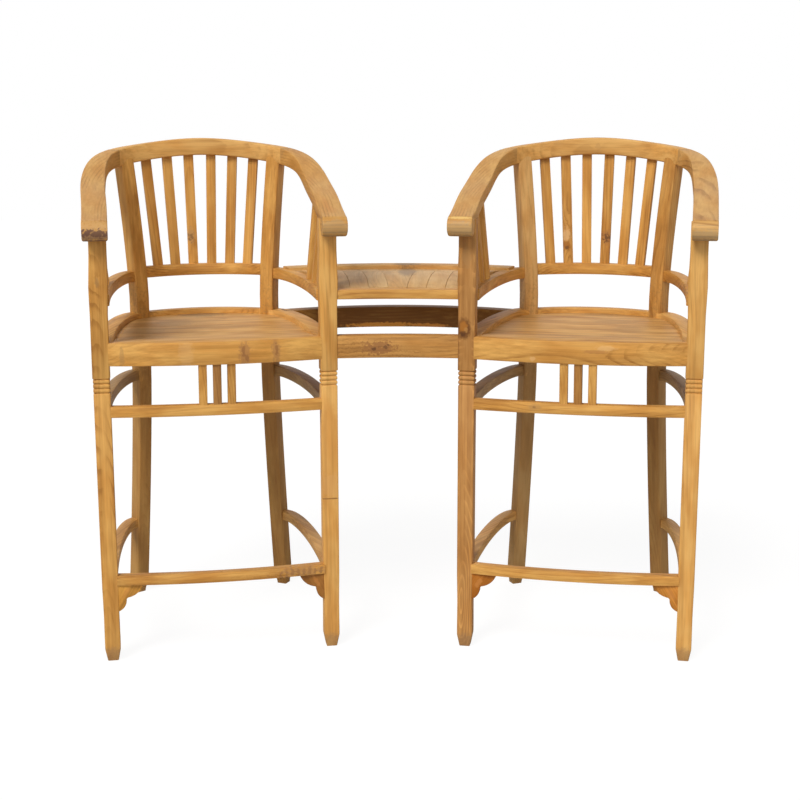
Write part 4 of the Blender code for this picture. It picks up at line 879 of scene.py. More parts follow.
def teak(piece, grain, face, seed, tone=0.0, figure=0.45, pith=(0.05, -0.03), ring=0.007, grey=0.0, tint=None,
         marks=(), lean=0.05, contrast=1.0, nose=None):
    """Teak cut for one piece. Marks are (place, size, colour, amount, push, ragged) in the world."""
    colours = bpy.context.scene.double_chair_teak
    material = bpy.data.materials.new("teak " + piece.name)
    material.use_nodes = True
    tree = material.node_tree
    calc = partial(math_node, tree)
    shader = tree.nodes["Principled BSDF"].inputs
    middle = sum((Vector(c) for c in piece.bound_box), Vector()) / 8
    axes = board_axes(grain, face)
    board = wire(tree, "ShaderNodeMapping", set_vector_type="TEXTURE", Location=middle,
                 Vector=wire(tree, "ShaderNodeTexCoord").outputs["Object"], Rotation=axes.to_euler("XYZ")).outputs[0]
    wood_place = board
    if nose is not None:
        # The front of the scroll is a block whose grain runs across the arm
        parts = wire(tree, "ShaderNodeSeparateXYZ", i0=board).outputs
        crossed = wire(tree, "ShaderNodeCombineXYZ", X=parts[1], Y=parts[2], Z=parts[0]).outputs[0]
        end = (axes.inverted() @ (Vector(nose) - middle)).x
        inside = calc("LESS_THAN" if end < 0 else "GREATER_THAN", parts[0], end)
        wood_place = wire(tree, "ShaderNodeMix", set_data_type="VECTOR", i0=inside, i4=board, i5=crossed).outputs[1]
    wood = wire(tree, "ShaderNodeGroup", set_node_tree=shared("Teak grain", teak_group), Vector=wood_place, Seed=seed)
    for name, value in (("Pith across", pith[0]), ("Pith depth", pith[1]), ("Ring width", ring), ("Figure", figure),
                        ("Tone", BASE_TONE + tone), ("Lean", lean), ("Contrast", contrast)):
        wood.inputs[name].default_value = value
    light, dark, weathered = Vector(colours.light), Vector(colours.dark), Vector(colours.grey)
    if tint:
        light = light.lerp(Vector(tint), 0.5)
        dark = dark.lerp(Vector(tint) * 0.5, 0.5)
    light = light.lerp(weathered, grey)
    dark = dark.lerp(weathered * 0.58, grey * 0.6)
    warm = (*(part * share for part, share in zip(light, WARMTH)), 1.0)
    early = mix_colour(tree, ramp(tree, wood.outputs["Cloud"], 0.40, 0.64), (*light, 1.0), warm)
    shade = mix_colour(tree, wood.outputs["Dark"], early, (*dark, 1.0))
    swirl = 0.0
    for place, size, colour, amount, push, ragged in marks:
        mark = wire(tree, "ShaderNodeGroup", set_node_tree=shared("Mark", mark_group), Vector=board, Size=size,
                    Centre=axes.inverted() @ (Vector(place) - middle), Ragged=ragged).outputs
        if push:
            swirl = calc("MULTIPLY_ADD", mark["Near"], push, swirl)
            tree.links.new(swirl, wood.inputs["Swirl"])
        shade = mix_colour(tree, calc("MULTIPLY", mark["Mask"], amount), shade, (*colour, 1.0))
    fibre = wood.outputs["Fibre"]
    bump = wire(tree, "ShaderNodeBump", Strength=GRAIN_BUMP, Distance=GRAIN_DEPTH, Height=fibre).outputs[0]
    rough = calc("MULTIPLY_ADD", fibre, GRAIN_ROUGHNESS, colours.roughness - 0.12)
    for name, socket in (("Base Color", shade), ("Roughness", rough), ("Normal", bump)):
        tree.links.new(socket, shader[name])
    shader["Specular IOR Level"].default_value = TEAK_SHEEN
    piece.data.materials.clear()
    piece.data.materials.append(material)


# Finishing: each piece stands in its place, rides on the part and takes its wood

def finish(piece, node, slot, **wood):
    only(piece)
    bpy.ops.object.shade_smooth_by_angle(angle=math.radians(32))
    teak(piece, **wood)
    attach(piece, "root")
    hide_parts(node)


def stood(side, x, y, z):
    """A point of a chair's own drawing, in the world."""
    return Vector((*to_world((x, y), side), z))


def turned(vector, side):
    """A direction of the left chair's drawing, seen in the world on the given side."""
    x, y, z = vector
    return chair_matrix(side).to_3x3() @ Vector((x if side < 0 else -x, y, z))


def mark_at(side, x, y, z, size, colour, amount=0.8, push=0.0, ragged=0.3):
    return stood(side, x, y, z), size, colour, amount, push, ragged


def both_chairs(piece, grain, face, node=None, slot="golden_teak", woods=None, marks=(), nose=None, nudge=None):
    """Stand the piece in the left chair and a mirrored copy in the right one, each with its own wood."""
    word = piece.name
    settle(piece)
    only(piece)
    bpy.ops.object.duplicate()
    twin = bpy.context.active_object
    if nudge:
        pull(piece, *nudge)
    piece.matrix_world = chair_matrix(LEFT)
    settle(piece)
    twin.matrix_world = chair_matrix(RIGHT) @ Matrix.Scale(-1.0, 4, (1.0, 0.0, 0.0))
    settle(twin)
    outward(twin)
    for which, side, wood in zip((piece, twin), (LEFT, RIGHT), woods or WOODS[word]):
        hand = "left_" if side < 0 else "right_"
        which.name = hand + word + "_wood"
        wood = dict(wood, grain=turned(grain, side), face=turned(face, side), nose=nose and stood(side, *nose),
                    marks=[mark_at(side, *mark) for mark in (*wood["marks"], *marks)])
        finish(which, hand + (node or word), slot, **wood)


# Woods

BASE_TONE = 0.36
TEAK_SHEEN = 0.22
WARMTH = (0.97, 0.86, 0.70)
GRAIN_BUMP = 0.16
GRAIN_DEPTH = 0.0006
GRAIN_ROUGHNESS = 0.16
SEAT_LEVEL = 0.752
KNOT = (0.105, 0.045, 0.018)
KNOT_RIM = (0.37, 0.17, 0.055)
KNOT_HEART = (0.25, 0.105, 0.035)
SMUDGE = (0.34, 0.19, 0.07)
ORANGE = (0.50, 0.20, 0.045)
PALE = (0.70, 0.45, 0.22)
BARK = (0.155, 0.075, 0.045)
FOOT_BROWN = (0.30, 0.175, 0.080)
STREAK = (0.30, 0.19, 0.09)
TAN = (0.44, 0.32, 0.17)
GLINT = (0.78, 0.52, 0.18)
# Olive brown that paints the seat's shade onto the upper side stretchers
STRETCHER_SHADE_TINT = (0.36, 0.25, 0.10)
BRACKET_ORANGE = (0.26, 0.10, 0.018)
BRACKET_RED = (0.30, 0.080, 0.002)


def cut(seed, tone, figure, marks=(), **rest):
    """A wood: its place in the log, its darkness, the strength of its rings, its marks and what else it changes."""
    return dict(rest, seed=seed, tone=tone, figure=figure, marks=marks)


def seat_cut(seed, tone, figure, *spots):
    """A greyed seat board; spots are (x, y, length, width, colour, amount)."""
    marks = [(x, y, SEAT_LEVEL, (long, wide, 0.03), colour, amount) for x, y, long, wide, colour, amount in spots]
    return cut(seed, tone, figure, marks, grey=0.35, contrast=1.5)


def side_cuts(seed, tone, figure, **rest):
    return (cut(seed[0], tone[0], figure, **rest), cut(seed[1], tone[1], figure, **rest))


def nose_streaks(x):
    """Thin broken streaks across the front of a scroll, and a darker band along its underside."""
    return [(x, -0.072, z, (0.040, 0.050, thickness), STREAK, amount, 0.0, 0.45)
            for z, thickness, amount in ((1.037, 0.0012, 0.35), (1.029, 0.0018, 0.40), (1.021, 0.0012, 0.35),
                                         (1.012, 0.0020, 0.50), (1.0025, 0.0050, 0.75))]


def curls():
    """Short dark curls in the grain of a footrest."""
    return [(0.138 + 0.014 * i, -0.026, 0.196 + 0.003 * (i % 3), (0.0048, 0.013, 0.03), (0.25, 0.115, 0.045), 0.55,
             0.0, 0.7) for i in range(8)]


# The wood of each piece in the left and in the right chair. A mark is (x, y, z, size along the grain, across it and
# into the wood, colour, amount, push on the rings, raggedness) in the chair's own drawing.
WOODS = {
    "front_leg_inner": (
        cut(1.3, -0.22, 0.3, pith=(0.09, -0.05), grey=0.1, marks=[
            (0.262, -0.019, 0.475, (0.15, 0.06, 0.06), (0.5, 0.225, 0.048), 0.4, 0.0, 0.1),
            (0.262, -0.019, 0.374, (0.0022, 0.04, 0.012), (0.22, 0.09, 0.02), 0.8),
            (0.262, -0.019, 0.405, (0.035, 0.04, 0.012), PALE, 0.12)]),
        cut(2.1, 0.34, -0.6, pith=(0.004, -0.03), ring=0.0045, lean=0.12, tint=(0.52, 0.24, 0.085), marks=[
            (0.268, -0.021, 0.783, (0.031, 0.0205, 0.03), (0.13, 0.045, 0.01), 0.9, 0.012, 0.15),
            (0.269, -0.021, 0.788, (0.0185, 0.012, 0.03), (0.36, 0.135, 0.02), 0.95, 0.0, 0.2),
            (0.263, -0.021, 0.781, (0.008, 0.006, 0.03), (0.42, 0.21, 0.06), 0.6),
            (0.27, -0.021, 0.772, (0.008, 0.008, 0.03), (0.08, 0.03, 0.01), 0.7),
            (0.262, -0.021, 0.95, (0.03, 0.014, 0.03), SMUDGE, 0.4, 0.004)])),
    "front_leg_outer": (
        cut(3.7, 0.12, 0.5, pith=(0.012, -0.05), ring=0.005, lean=0.1, marks=[
            (-0.262, -0.021, 0.905, (0.012, 0.006, 0.03), SMUDGE, 0.5, 0.004)]),
        cut(4.9, -0.1, 0.35, pith=(0.06, -0.03), grey=0.15, marks=[])),
    "back_leg_inner": (cut(11.3, 0.12, 0.35, pith=(0.05, -0.05)), cut(12.1, -0.2, 0.3, pith=(-0.05, -0.03), grey=0.45)),
    "back_leg_outer": (
        cut(13.7, 0.1, 0.5, pith=(0.006, -0.04), ring=0.005, lean=0.08),
        cut(14.9, 0.17, 0.4, pith=(0.03, -0.05), grey=0.1)),
    "arm_inner": (
        cut(21.3, 0.05, 0.4, pith=(0.075, -0.03), ring=0.0075, grey=0.15, contrast=0.5, marks=[
            (0.266, 0.06, 1.055, (0.07, 0.01, 0.03), ORANGE, 0.4),
            (0.274, 0.0, 1.05, (0.03, 0.014, 0.03), ORANGE, 0.3),
            (0.273, -0.072, 1.022, (0.034, 0.05, 0.024), TAN, 0.35),
            (0.205, 0.445, 1.17, (0.03, 0.03, 0.03), SMUDGE, 0.45),
            *nose_streaks(0.273)]),
        cut(22.1, 0.02, 0.4, pith=(-0.08, -0.03), ring=0.0075, grey=0.25, contrast=0.5, marks=[
            (0.273, -0.072, 1.018, (0.034, 0.05, 0.024), TAN, 0.42),
            (0.273, -0.06, 1.0455, (0.006, 0.04, 0.006), GLINT, 0.75),
            (0.205, 0.445, 1.17, (0.03, 0.02, 0.03), SMUDGE, 0.4),
            *nose_streaks(0.273)])),
    "arm_outer": (
        cut(23.7, 0.04, 0.4, pith=(-0.085, -0.04), ring=0.007, grey=0.25, contrast=0.5, marks=[
            (-0.263, -0.06, 1.034, (0.03, 0.06, 0.018), (0.56, 0.32, 0.12), 0.6, 0.0, 0.9),
            (-0.263, -0.068, 1.015, (0.03, 0.09, 0.016), (0.3, 0.165, 0.085), 0.8, 0.0, 0.6),
            (-0.263, -0.068, 1.019, (0.03, 0.09, 0.0085), BARK, 0.85, 0.0, 1.2),
            (-0.278, -0.068, 1.024, (0.03, 0.016, 0.006), BARK, 0.8, 0.0, 0.9),
            (-0.263, -0.062, 1.0, (0.03, 0.09, 0.005), BARK, 0.9, 0.0, 0.3),
            (-0.205, 0.445, 1.17, (0.03, 0.02, 0.03), SMUDGE, 0.35)]),
        cut(24.9, 0.0, 0.6, pith=(0.004, -0.06), ring=0.012, grey=0.3, lean=-0.1, contrast=0.55, marks=[
            (-0.273, -0.072, 1.012, (0.034, 0.05, 0.018), TAN, 0.45),
            (-0.205, 0.445, 1.17, (0.03, 0.03, 0.03), SMUDGE, 0.45),
            *nose_streaks(-0.273)])),
    "crest_rail": (
        cut(31.3, -0.24, 0.35, pith=(0.06, -0.07), ring=0.009, grey=0.2),
        cut(32.9, -0.2, 0.35, pith=(-0.05, -0.06), ring=0.009, grey=0.2, marks=[
            (0.0, 0.485, 1.18, (0.01, 0.01, 0.02), SMUDGE, 0.25, 0.004)])),
    "back_slat_1": (cut(41.1, 0.08, 0.4), cut(56.6, 0.04, 0.4)),
    "back_slat_2": (cut(42.2, 0.06, 0.4), cut(55.5, 0.02, 0.35)),
    "back_slat_3": (
        cut(43.3, -0.24, 0.5, ring=0.006, pith=(0.0, -0.03), marks=[
            (-0.027, 0.484, 0.955, (0.026, 0.013, 0.03), (0.42, 0.24, 0.1), 0.6, 0.004),
            (-0.027, 0.484, 0.95, (0.013, 0.008, 0.03), (0.2, 0.1, 0.04), 0.75, 0.0, 0.8)]),
        cut(54.4, 0.08, 0.35, marks=[
            (-0.027, 0.484, 0.95, (0.024, 0.015, 0.03), (0.36, 0.16, 0.05), 0.75, 0.004),
            (-0.027, 0.484, 0.948, (0.013, 0.01, 0.03), KNOT, 0.8, 0.0, 0.8)])),
    "back_slat_4": (cut(44.4, 0.0, 0.3), cut(53.3, -0.06, 0.3)),
    "back_slat_5": (
        cut(45.5, 0.06, 0.3),
        cut(52.2, 0.02, 0.75, ring=0.005, pith=(0.0, -0.012), marks=[
            (0.075, 0.478, 0.955, (0.022, 0.012, 0.03), PALE, 0.65, 0.012),
            (0.074, 0.478, 0.927, (0.016, 0.012, 0.03), (0.33, 0.125, 0.022), 0.85, 0.0, 0.2),
            (0.074, 0.478, 0.922, (0.006, 0.006, 0.03), KNOT, 0.7)])),
    "back_slat_6": (cut(46.6, -0.12, 0.35), cut(51.1, 0.12, 0.35)),
    "seat_front_rail": (
        cut(81.3, -0.02, 0.25, pith=(0.05, -0.06), ring=0.008, marks=[
            (0.064, -0.043, 0.738, (0.016, 0.036, 0.02), KNOT_RIM, 0.75, 0.006, 0.4),
            (0.061, -0.043, 0.743, (0.0055, 0.017, 0.02), KNOT_HEART, 0.7, 0.0, 0.5),
            (0.069, -0.043, 0.727, (0.005, 0.01, 0.02), KNOT_HEART, 0.6, 0.0, 0.5),
            (0.136, -0.038, 0.74, (0.012, 0.036, 0.02), KNOT_RIM, 0.7, 0.005, 0.4),
            (0.138, -0.038, 0.744, (0.0045, 0.018, 0.02), KNOT_HEART, 0.65, 0.0, 0.5),
            (-0.214, -0.03, 0.735, (0.007, 0.03, 0.02), SMUDGE, 0.45, 0.003),
            (-0.07, -0.043, 0.738, (0.02, 0.05, 0.02), PALE, 0.18)]),
        cut(82.7, 0.06, 0.42, pith=(-0.008, -0.035), ring=0.006, lean=0.06, marks=[
            (-0.062, -0.043, 0.752, (0.028, 0.008, 0.02), PALE, 0.3, 0.006),
            (-0.04, -0.043, 0.743, (0.036, 0.005, 0.02), (0.38, 0.16, 0.045), 0.6),
            (0.105, -0.043, 0.722, (0.008, 0.007, 0.02), PALE, 0.35)])),
    "seat_side_rail_inner": (cut(83.1, -0.04, 0.45, grey=0.15), cut(84.2, 0.0, 0.45)),
    "seat_side_rail_outer": (cut(85.3, 0.0, 0.45), cut(86.4, -0.05, 0.45, grey=0.1)),
    "seat_back_rail": (cut(87.1, 0.08, 0.45), cut(88.2, 0.06, 0.45)),
    "lower_back_rail": (cut(91.1, 0.05, 0.6, ring=0.006), cut(92.2, 0.03, 0.6, ring=0.006)),
    "upper_front_stretcher": (
        cut(101.1, -0.04, 0.4),
        cut(102.2, 0.04, 0.5, marks=[
            (0.1, -0.034, 0.606, (0.022, 0.009, 0.02), SMUDGE, 0.4, 0.006),
            (0.1, -0.034, 0.606, (0.006, 0.004, 0.02), KNOT, 0.4)])),
    "footrest": (
        cut(103.1, 0.12, 0.6, marks=[
            (0.19, -0.03, 0.2, (0.06, 0.018, 0.03), (0.42, 0.22, 0.08), 0.6, 0.008, 0.8),
            *curls()]),
        cut(104.2, 0.0, 0.4)),
    "lower_side_rail_inner": side_cuts((94.1, 97.2), (0.03, 0.02), 0.5),
    "lower_side_rail_outer": side_cuts((92.1, 95.2), (0.03, 0.02), 0.5),
    # Tone, grey and tint darken the upper side stretchers and turn them olive: painted shade of the seat above them
    "upper_side_stretcher_inner": side_cuts((106.717, 109.817), (0.42, 0.38), 0.4, grey=0.25, tint=STRETCHER_SHADE_TINT),
    "upper_side_stretcher_outer": side_cuts((104.717, 107.817), (0.42, 0.38), 0.4, grey=0.25, tint=STRETCHER_SHADE_TINT),
    "lower_side_stretcher_inner": side_cuts((106.311, 109.411), (0.05, 0.05), 0.4, grey=0.25),
    "lower_side_stretcher_outer": side_cuts((104.311, 107.411), (0.05, 0.05), 0.4, grey=0.25),
    "spindle_1": side_cuts((110.1, 114.2), (-0.06, -0.06), 0.45, ring=0.005),
    "spindle_2": (cut(111.1, 0.46, 0.45, ring=0.005, tint=(0.40, 0.19, 0.07)),
                  cut(115.2, 0.50, 0.45, ring=0.005, tint=(0.44, 0.19, 0.05))),
    "spindle_3": side_cuts((112.1, 116.2), (0.22, 0.06), 0.45, ring=0.005),
    "bracket_inner": (
        cut(122.1, 0.36, 0.3, ring=0.011, contrast=1.5, tint=(0.30, 0.09, 0.004), marks=[
            (0.225, -0.018, 0.170, (0.12, 0.12, 0.06), BRACKET_ORANGE, 0.55),
            (0.225, -0.018, 0.170, (0.020, 0.006, 0.02), ORANGE, 0.5)]),
        cut(125.2, 0.24, 0.3, ring=0.011, contrast=1.5, tint=(0.55, 0.17, 0.004), marks=[
            (0.225, -0.018, 0.170, (0.12, 0.12, 0.06), BRACKET_RED, 0.65),
            (0.228, -0.018, 0.165, (0.018, 0.008, 0.02), ORANGE, 0.6)])),
    "bracket_outer": (
        cut(120.1, -0.08, 0.3, ring=0.011, contrast=1.5, tint=(0.64, 0.31, 0.04), marks=[
            (-0.225, -0.018, 0.170, (0.020, 0.006, 0.02), ORANGE, 0.5)]),
        cut(123.2, 0.0, 0.3, ring=0.011, contrast=1.5, tint=(0.55, 0.17, 0.004), marks=[
            (-0.225, -0.018, 0.170, (0.12, 0.12, 0.06), BRACKET_RED, 0.1),
            (-0.228, -0.018, 0.165, (0.018, 0.008, 0.02), ORANGE, 0.6)])),
    "seat_board_1": (seat_cut(131.0, -0.09, 0.40), seat_cut(141.0, -0.11, 0.40)),
    "seat_board_2": (seat_cut(132.0, -0.03, 0.45, (-0.150, 0.12, 0.075, 0.050, SMUDGE, 0.35)),
                     seat_cut(142.0, -0.07, 0.45, (-0.090, 0.11, 0.060, 0.045, SMUDGE, 0.3))),
    "seat_board_3": (seat_cut(133.0, -0.05, 0.45, (-0.160, 0.22, 0.070, 0.060, SMUDGE, 0.35),
                              (0.030, 0.25, 0.100, 0.040, SMUDGE, 0.3)),
                     seat_cut(143.0, -0.05, 0.45, (-0.100, 0.23, 0.050, 0.070, SMUDGE, 0.4))),
    "seat_board_4": (seat_cut(134.0, -0.03, 0.45, (-0.080, 0.34, 0.060, 0.070, SMUDGE, 0.4)),
                     seat_cut(144.0, -0.01, 0.45, (-0.060, 0.35, 0.070, 0.050, SMUDGE, 0.4))),
    "seat_board_5": (seat_cut(135.0, -0.01, 0.45, (-0.010, 0.455, 0.075, 0.040, (0.20, 0.13, 0.07), 0.55)),
                     seat_cut(145.0, 0.01, 0.45, (-0.020, 0.455, 0.060, 0.030, SMUDGE, 0.5))),
}

# The woods of the table, whose marks are (place in the world, size, colour, amount, push, raggedness)
TABLE_WOODS = {
    "table_front_rail": cut(151.0, 0.0, 0.4, pith=(0.05, -0.04)),
    "table_rear_rail": cut(152.0, -0.06, 0.35, grey=0.3, marks=[
        ((0.020, 0.282, 0.879), (0.045, 0.030, 0.04), (0.15, 0.09, 0.04), 0.75, 0.0, 0.3)]),
    "lower_front_apron": cut(153.0, 0.10, 0.5, ring=0.008, tint=(0.55, 0.27, 0.08), marks=[
        ((-0.045, -0.162, 0.735), (0.042, 0.021, 0.03), (0.28, 0.12, 0.038), 0.85, 0.008, 0.7),
        ((-0.056, -0.162, 0.733), (0.006, 0.005, 0.03), KNOT, 0.8, 0.0, 0.6),
        ((-0.034, -0.162, 0.738), (0.010, 0.004, 0.03), KNOT, 0.6, 0.0, 1.0),
        ((-0.022, -0.162, 0.743), (0.004, 0.003, 0.03), KNOT, 0.6, 0.0, 0.6)]),
    # The rear apron's dark tone and tint are partly its own dark wood and partly painted shade under the table top.
    "lower_rear_apron": cut(154.0, 0.50, 0.5, ring=0.008, tint=(0.12, 0.05, 0.004), marks=[
        ((-0.045, 0.29, 0.7175), (0.115, 0.0085, 0.05), (0.75, 0.34, 0.06), 0.95, 0.0, 0.3),
        ((0.075, 0.29, 0.7165), (0.070, 0.0065, 0.05), (0.70, 0.30, 0.06), 0.9, 0.0, 0.3)]),
}
TABLE_TONES = (-0.09, -0.244, -0.132, -0.16, -0.216, -0.104, -0.16, -0.23, -0.118, -0.188, -0.132)
TABLE_STAIN = ((0.022, 0.15, 0.88), (0.21, 0.030, 0.03), (0.19, 0.125, 0.07), 0.70, 0.0, 0.2)
STAINED_BOARDS = (0, 1)


class DOUBLE_CHAIR_OT_front_legs(bpy.types.Operator):
    """Front legs, with a tapered foot, four carved rings and a slight swelling under the arm"""
    bl_idname = "double_chair.front_legs"
    bl_label = "Front legs"

    def execute(self, context):
        size = chair().leg_width
        under_arm = between(ARM_LINE, share_where(arm_plan(), lambda p: p.y < 0.0, 0.0, 0.5)) - SINK
        levels = list(LEG_FOOT)
        for number in range(LEG_RINGS - 1, -1, -1):
            middle = LEG_RING_TOP - LEG_RING_PITCH * number
            above = LEG_LOW_SIZE if number else size
            levels += [(middle + rise, (above if rise > 0.001 else LEG_LOW_SIZE) + growth) for rise, growth in LEG_RING]
        levels += [(z, size + growth) for z, growth in LEG_SWELLING] + [(under_arm, size)]
        for word, side in SIDES:
            x = side * chair().leg_half_spacing
            piece = draw_up("front_leg_" + word, [(x, 0.0, z, wide, 0.0) for z, wide in levels], LEG_ROUNDING)
            both_chairs(piece, (0, 0, 1), (0, -1, 0),
                        marks=[(x, 0.0, 0.0, (0.045, 0.06, 0.06), FOOT_BROWN, 0.55, 0.0, 0.2)],
                        nudge=(lambda v: v.co.z > 1.0, *LEG_PULL) if side < 0 else None)
        return {"FINISHED"}


class DOUBLE_CHAIR_OT_back_legs(bpy.types.Operator):
    """Back legs, turned to the middle of the ring, splayed at the floor and raked above the seat"""
    bl_idname = "double_chair.back_legs"
    bl_label = "Back legs"

    def execute(self, context):
        size = chair().post_width
        top = between(ARM_LINE, POST_SHARE)
        straight, raked = RAKE_START - POST_FOOT_HEIGHT, top - RAKE_START
        heights = POST_FOOT_LEVELS + [POST_FOOT_HEIGHT + straight * i / POST_STEPS for i in range(1, POST_STEPS + 1)]
        heights += [RAKE_START + raked * i / RAKE_STEPS for i in range(1, RAKE_STEPS + 1)]
        for word, side in SIDES:
            levels = []
            for height in heights:
                width = size + (POST_FOOT_SIZE - size) * (1 - ease(height, 0.0, POST_FOOT_HEIGHT))
                levels.append((*post_centre(side, height), height, width, -side * POST_ANGLE))
            piece = draw_up("back_leg_" + word, levels, POST_ROUNDING)
            # The dark mark round the lower part of each back leg is painted shade: the seat's shadow painted into the
            # wood.
            both_chairs(piece, (0, 0, 1), (-side * math.sin(POST_ANGLE), -math.cos(POST_ANGLE), 0),
                        marks=[(*post_centre(side, 0.30), 0.30, (0.56, 0.20, 0.20), (0.22, 0.125, 0.045), 0.5)])
        return {"FINISHED"}


class DOUBLE_CHAIR_OT_arms(bpy.types.Operator):
    """Arms that start in a drum and flow round to the crest"""
    bl_idname = "double_chair.arms"
    bl_label = "Arms"

    def execute(self, context):
        plan = arm_plan()
        joint = share_where(plan, lambda p: p.x > CREST_JOINT_X, 0.5, 1.0)
        total = path_lengths(plan)[-1]
        lead = ARM_DRUM_RADIUS + ARM_TIP
        lowest, highest = ARM_DRUM_ANGLES
        stations = []
        for i in range(ARM_DRUM_STEPS + 1):
            angle = math.radians(lowest + (highest - lowest) * i / ARM_DRUM_STEPS)
            y = -ARM_DRUM_RADIUS * math.cos(angle)
            low = ARM_DRUM_Z - ARM_DRUM_RADIUS * math.sin(angle)
            high = ARM_DRUM_Z + ARM_DRUM_RADIUS * math.sin(angle)
            if y > 0:
                middle = between(ARM_LINE, y / total)
                high = max(high, middle + chair().arm_thickness / 2)
                low = min(low, middle - chair().arm_thickness / 2)
            stations.append((lead + y, low, high, chair().arm_width))
        first = ARM_DRUM_RADIUS * 1.06 / total
        for i in range(1, ARM_STEPS + 1):
            share = first + (joint - first) * i / ARM_STEPS
            stations.append(arm_station(lead + share * total, share))
        length = stations[-1][0]
        for word, side in SIDES:
            piece = blank("arm_" + word, length, *ARM_BLANK, ARM_ROUNDING, len(stations) - 2, 3)
            shape_loops(piece, length, *ARM_BLANK, stations)
            bend(piece, [plan[0] - Vector((0.0, lead))] + plan[1:])
            if side < 0:
                piece.scale.x = -1.0
                settle(piece)
                outward(piece)
            both_chairs(piece, (0, 1, 0), (0, 0, 1), slot="honey_teak",
                        nose=(side * (chair().leg_half_spacing + ARM_OVERHANG), ARM_FRONT_Y - 0.012, ARM_DRUM_Z),
                        nudge=(lambda v: v.co.y < -0.03, *ARM_PULL) if side < 0 else None)
        return {"FINISHED"}


class DOUBLE_CHAIR_OT_crests(bpy.types.Operator):
    """Crest rails over the backs"""
    bl_idname = "double_chair.crests"
    bl_label = "Crest rails"

    def execute(self, context):
        plan = arm_plan()
        joint = share_where(plan, lambda p: p.x > CREST_JOINT_X, 0.5, 1.0) + CREST_JOINT_SHARE
        shares = [joint + (1.0 - joint) * i / CREST_STEPS for i in range(CREST_STEPS + 1)]
        half = [along(plan, share) for share in shares]
        path = half + flipped(half[-2::-1])
        lengths = path_lengths(path)
        stations = [arm_station(distance, share) for distance, share in zip(lengths, shares + shares[-2::-1])]
        piece = blank("crest_rail", lengths[-1], *CREST_SECTION, CREST_ROUNDING, len(stations) - 2, 3)
        shape_loops(piece, lengths[-1], *CREST_SECTION, stations)
        both_chairs(bend(piece, path), (1, 0, 0), (0, -0.8, 0.6), slot="honey_teak")
        return {"FINISHED"}


class DOUBLE_CHAIR_OT_back_slats(bpy.types.Operator):
    """Six slats in each back"""
    bl_idname = "double_chair.back_slats"
    bl_label = "Back slats"

    def execute(self, context):
        plan = arm_plan()
        radius = (post_centre(1, BACK_RAIL_TOP) - Vector((0.0, RING_CENTRE_Y))).length
        lines = []
        for low, high in zip(BACK_SLATS_AT_RAIL, BACK_SLATS_AT_CREST):
            for side in (-1, 1):
                foot = Vector((side * low, RING_CENTRE_Y + math.sqrt(radius ** 2 - low ** 2), BACK_RAIL_TOP - SINK))
                share = share_where(plan, lambda p: p.x > high, 0.5, 1.0)
                place = along(plan, share)
                head = Vector((side * place.x, place.y, between(ARM_LINE, share) - arm_size(share)[1] / 2 + SINK))
                lines.append((foot, head, Vector((1.0, -side * low / radius, 0.0))))
        lines.sort(key=lambda line: line[0].x)
        for number, (foot, head, across) in enumerate(lines):
            piece = stick("back_slat_%d" % (number + 1), foot, head, chair().slat_width, chair().slat_thickness, across)
            both_chairs(piece, head - foot, (0, -1, 0.1))
        return {"FINISHED"}


class DOUBLE_CHAIR_OT_side_slats(bpy.types.Operator):
    """Three slats under each arm"""
    bl_idname = "double_chair.side_slats"
    bl_label = "Side slats"

    def execute(self, context):
        plan = arm_plan()
        number = 0
        for word, side in SIDES:
            path = side_path(side, LOWER_RAIL_TOP - LOWER_RAIL_DEPTH / 2, LOWER_RAIL_X)
            for place, y in enumerate(SIDE_SLAT_PLACES):
                i = max(k for k in range(len(path) - 1) if path[k].y >= y)
                foot = path[i].lerp(path[i + 1], (y - path[i].y) / (path[i + 1].y - path[i].y))
                start = Vector((*foot, LOWER_RAIL_TOP - SINK))
                share = share_where(plan, lambda p: p.y < y, 0.0, 0.5)
                top = between(ARM_LINE, share) - chair().arm_thickness / 2 + SINK
                head = Vector((side * (abs(foot.x) + SIDE_SLAT_LEAN), y, top))
                number += 1
                piece = stick("side_slat_%s_%d" % (word, place + 1), start, head, SIDE_SLAT_WIDTH,
                              chair().slat_thickness, (0, 1, 0))
                both_chairs(piece, head - start, (1, 0, 0), node="lower_side_rail_" + word, woods=side_cuts(
                    (60.0 + number, 70.0 + number), (0.03 * (number % 3), 0.04 * ((number + 1) % 3)), 0.35))
        return {"FINISHED"}


class DOUBLE_CHAIR_OT_seat_rails(bpy.types.Operator):
    """The ring of rails round each seat"""
    bl_idname = "double_chair.seat_rails"
    bl_label = "Seat rails"

    def execute(self, context):
        top = chair().seat_top
        piece = bowed_rail("seat_front_rail", chair().leg_width, FRONT_SETBACK, SEAT_FRONT_WIDTH, SEAT_RAIL_DEPTH, top,
                           SEAT_BOW, FRONT_ROUNDING, 32)
        both_chairs(piece, (1, 0, 0), (0, -1, 0))
        side_rails("seat_side_rail_", top, SEAT_RAIL_DEPTH, SEAT_SIDE_X, SEAT_SIDE_FRONT_END, SEAT_SIDE_WIDTH,
                   RAIL_ROUNDING)
        path = arc_path((0.0, RING_CENTRE_Y), RING_RADIUS, -POST_ANGLE, POST_ANGLE)
        piece = bent_rail("seat_back_rail", path, SEAT_BACK_WIDTH, SEAT_RAIL_DEPTH, top, RAIL_ROUNDING, 32)
        both_chairs(piece, (1, 0, 0), (0, -1, 0.5))
        return {"FINISHED"}


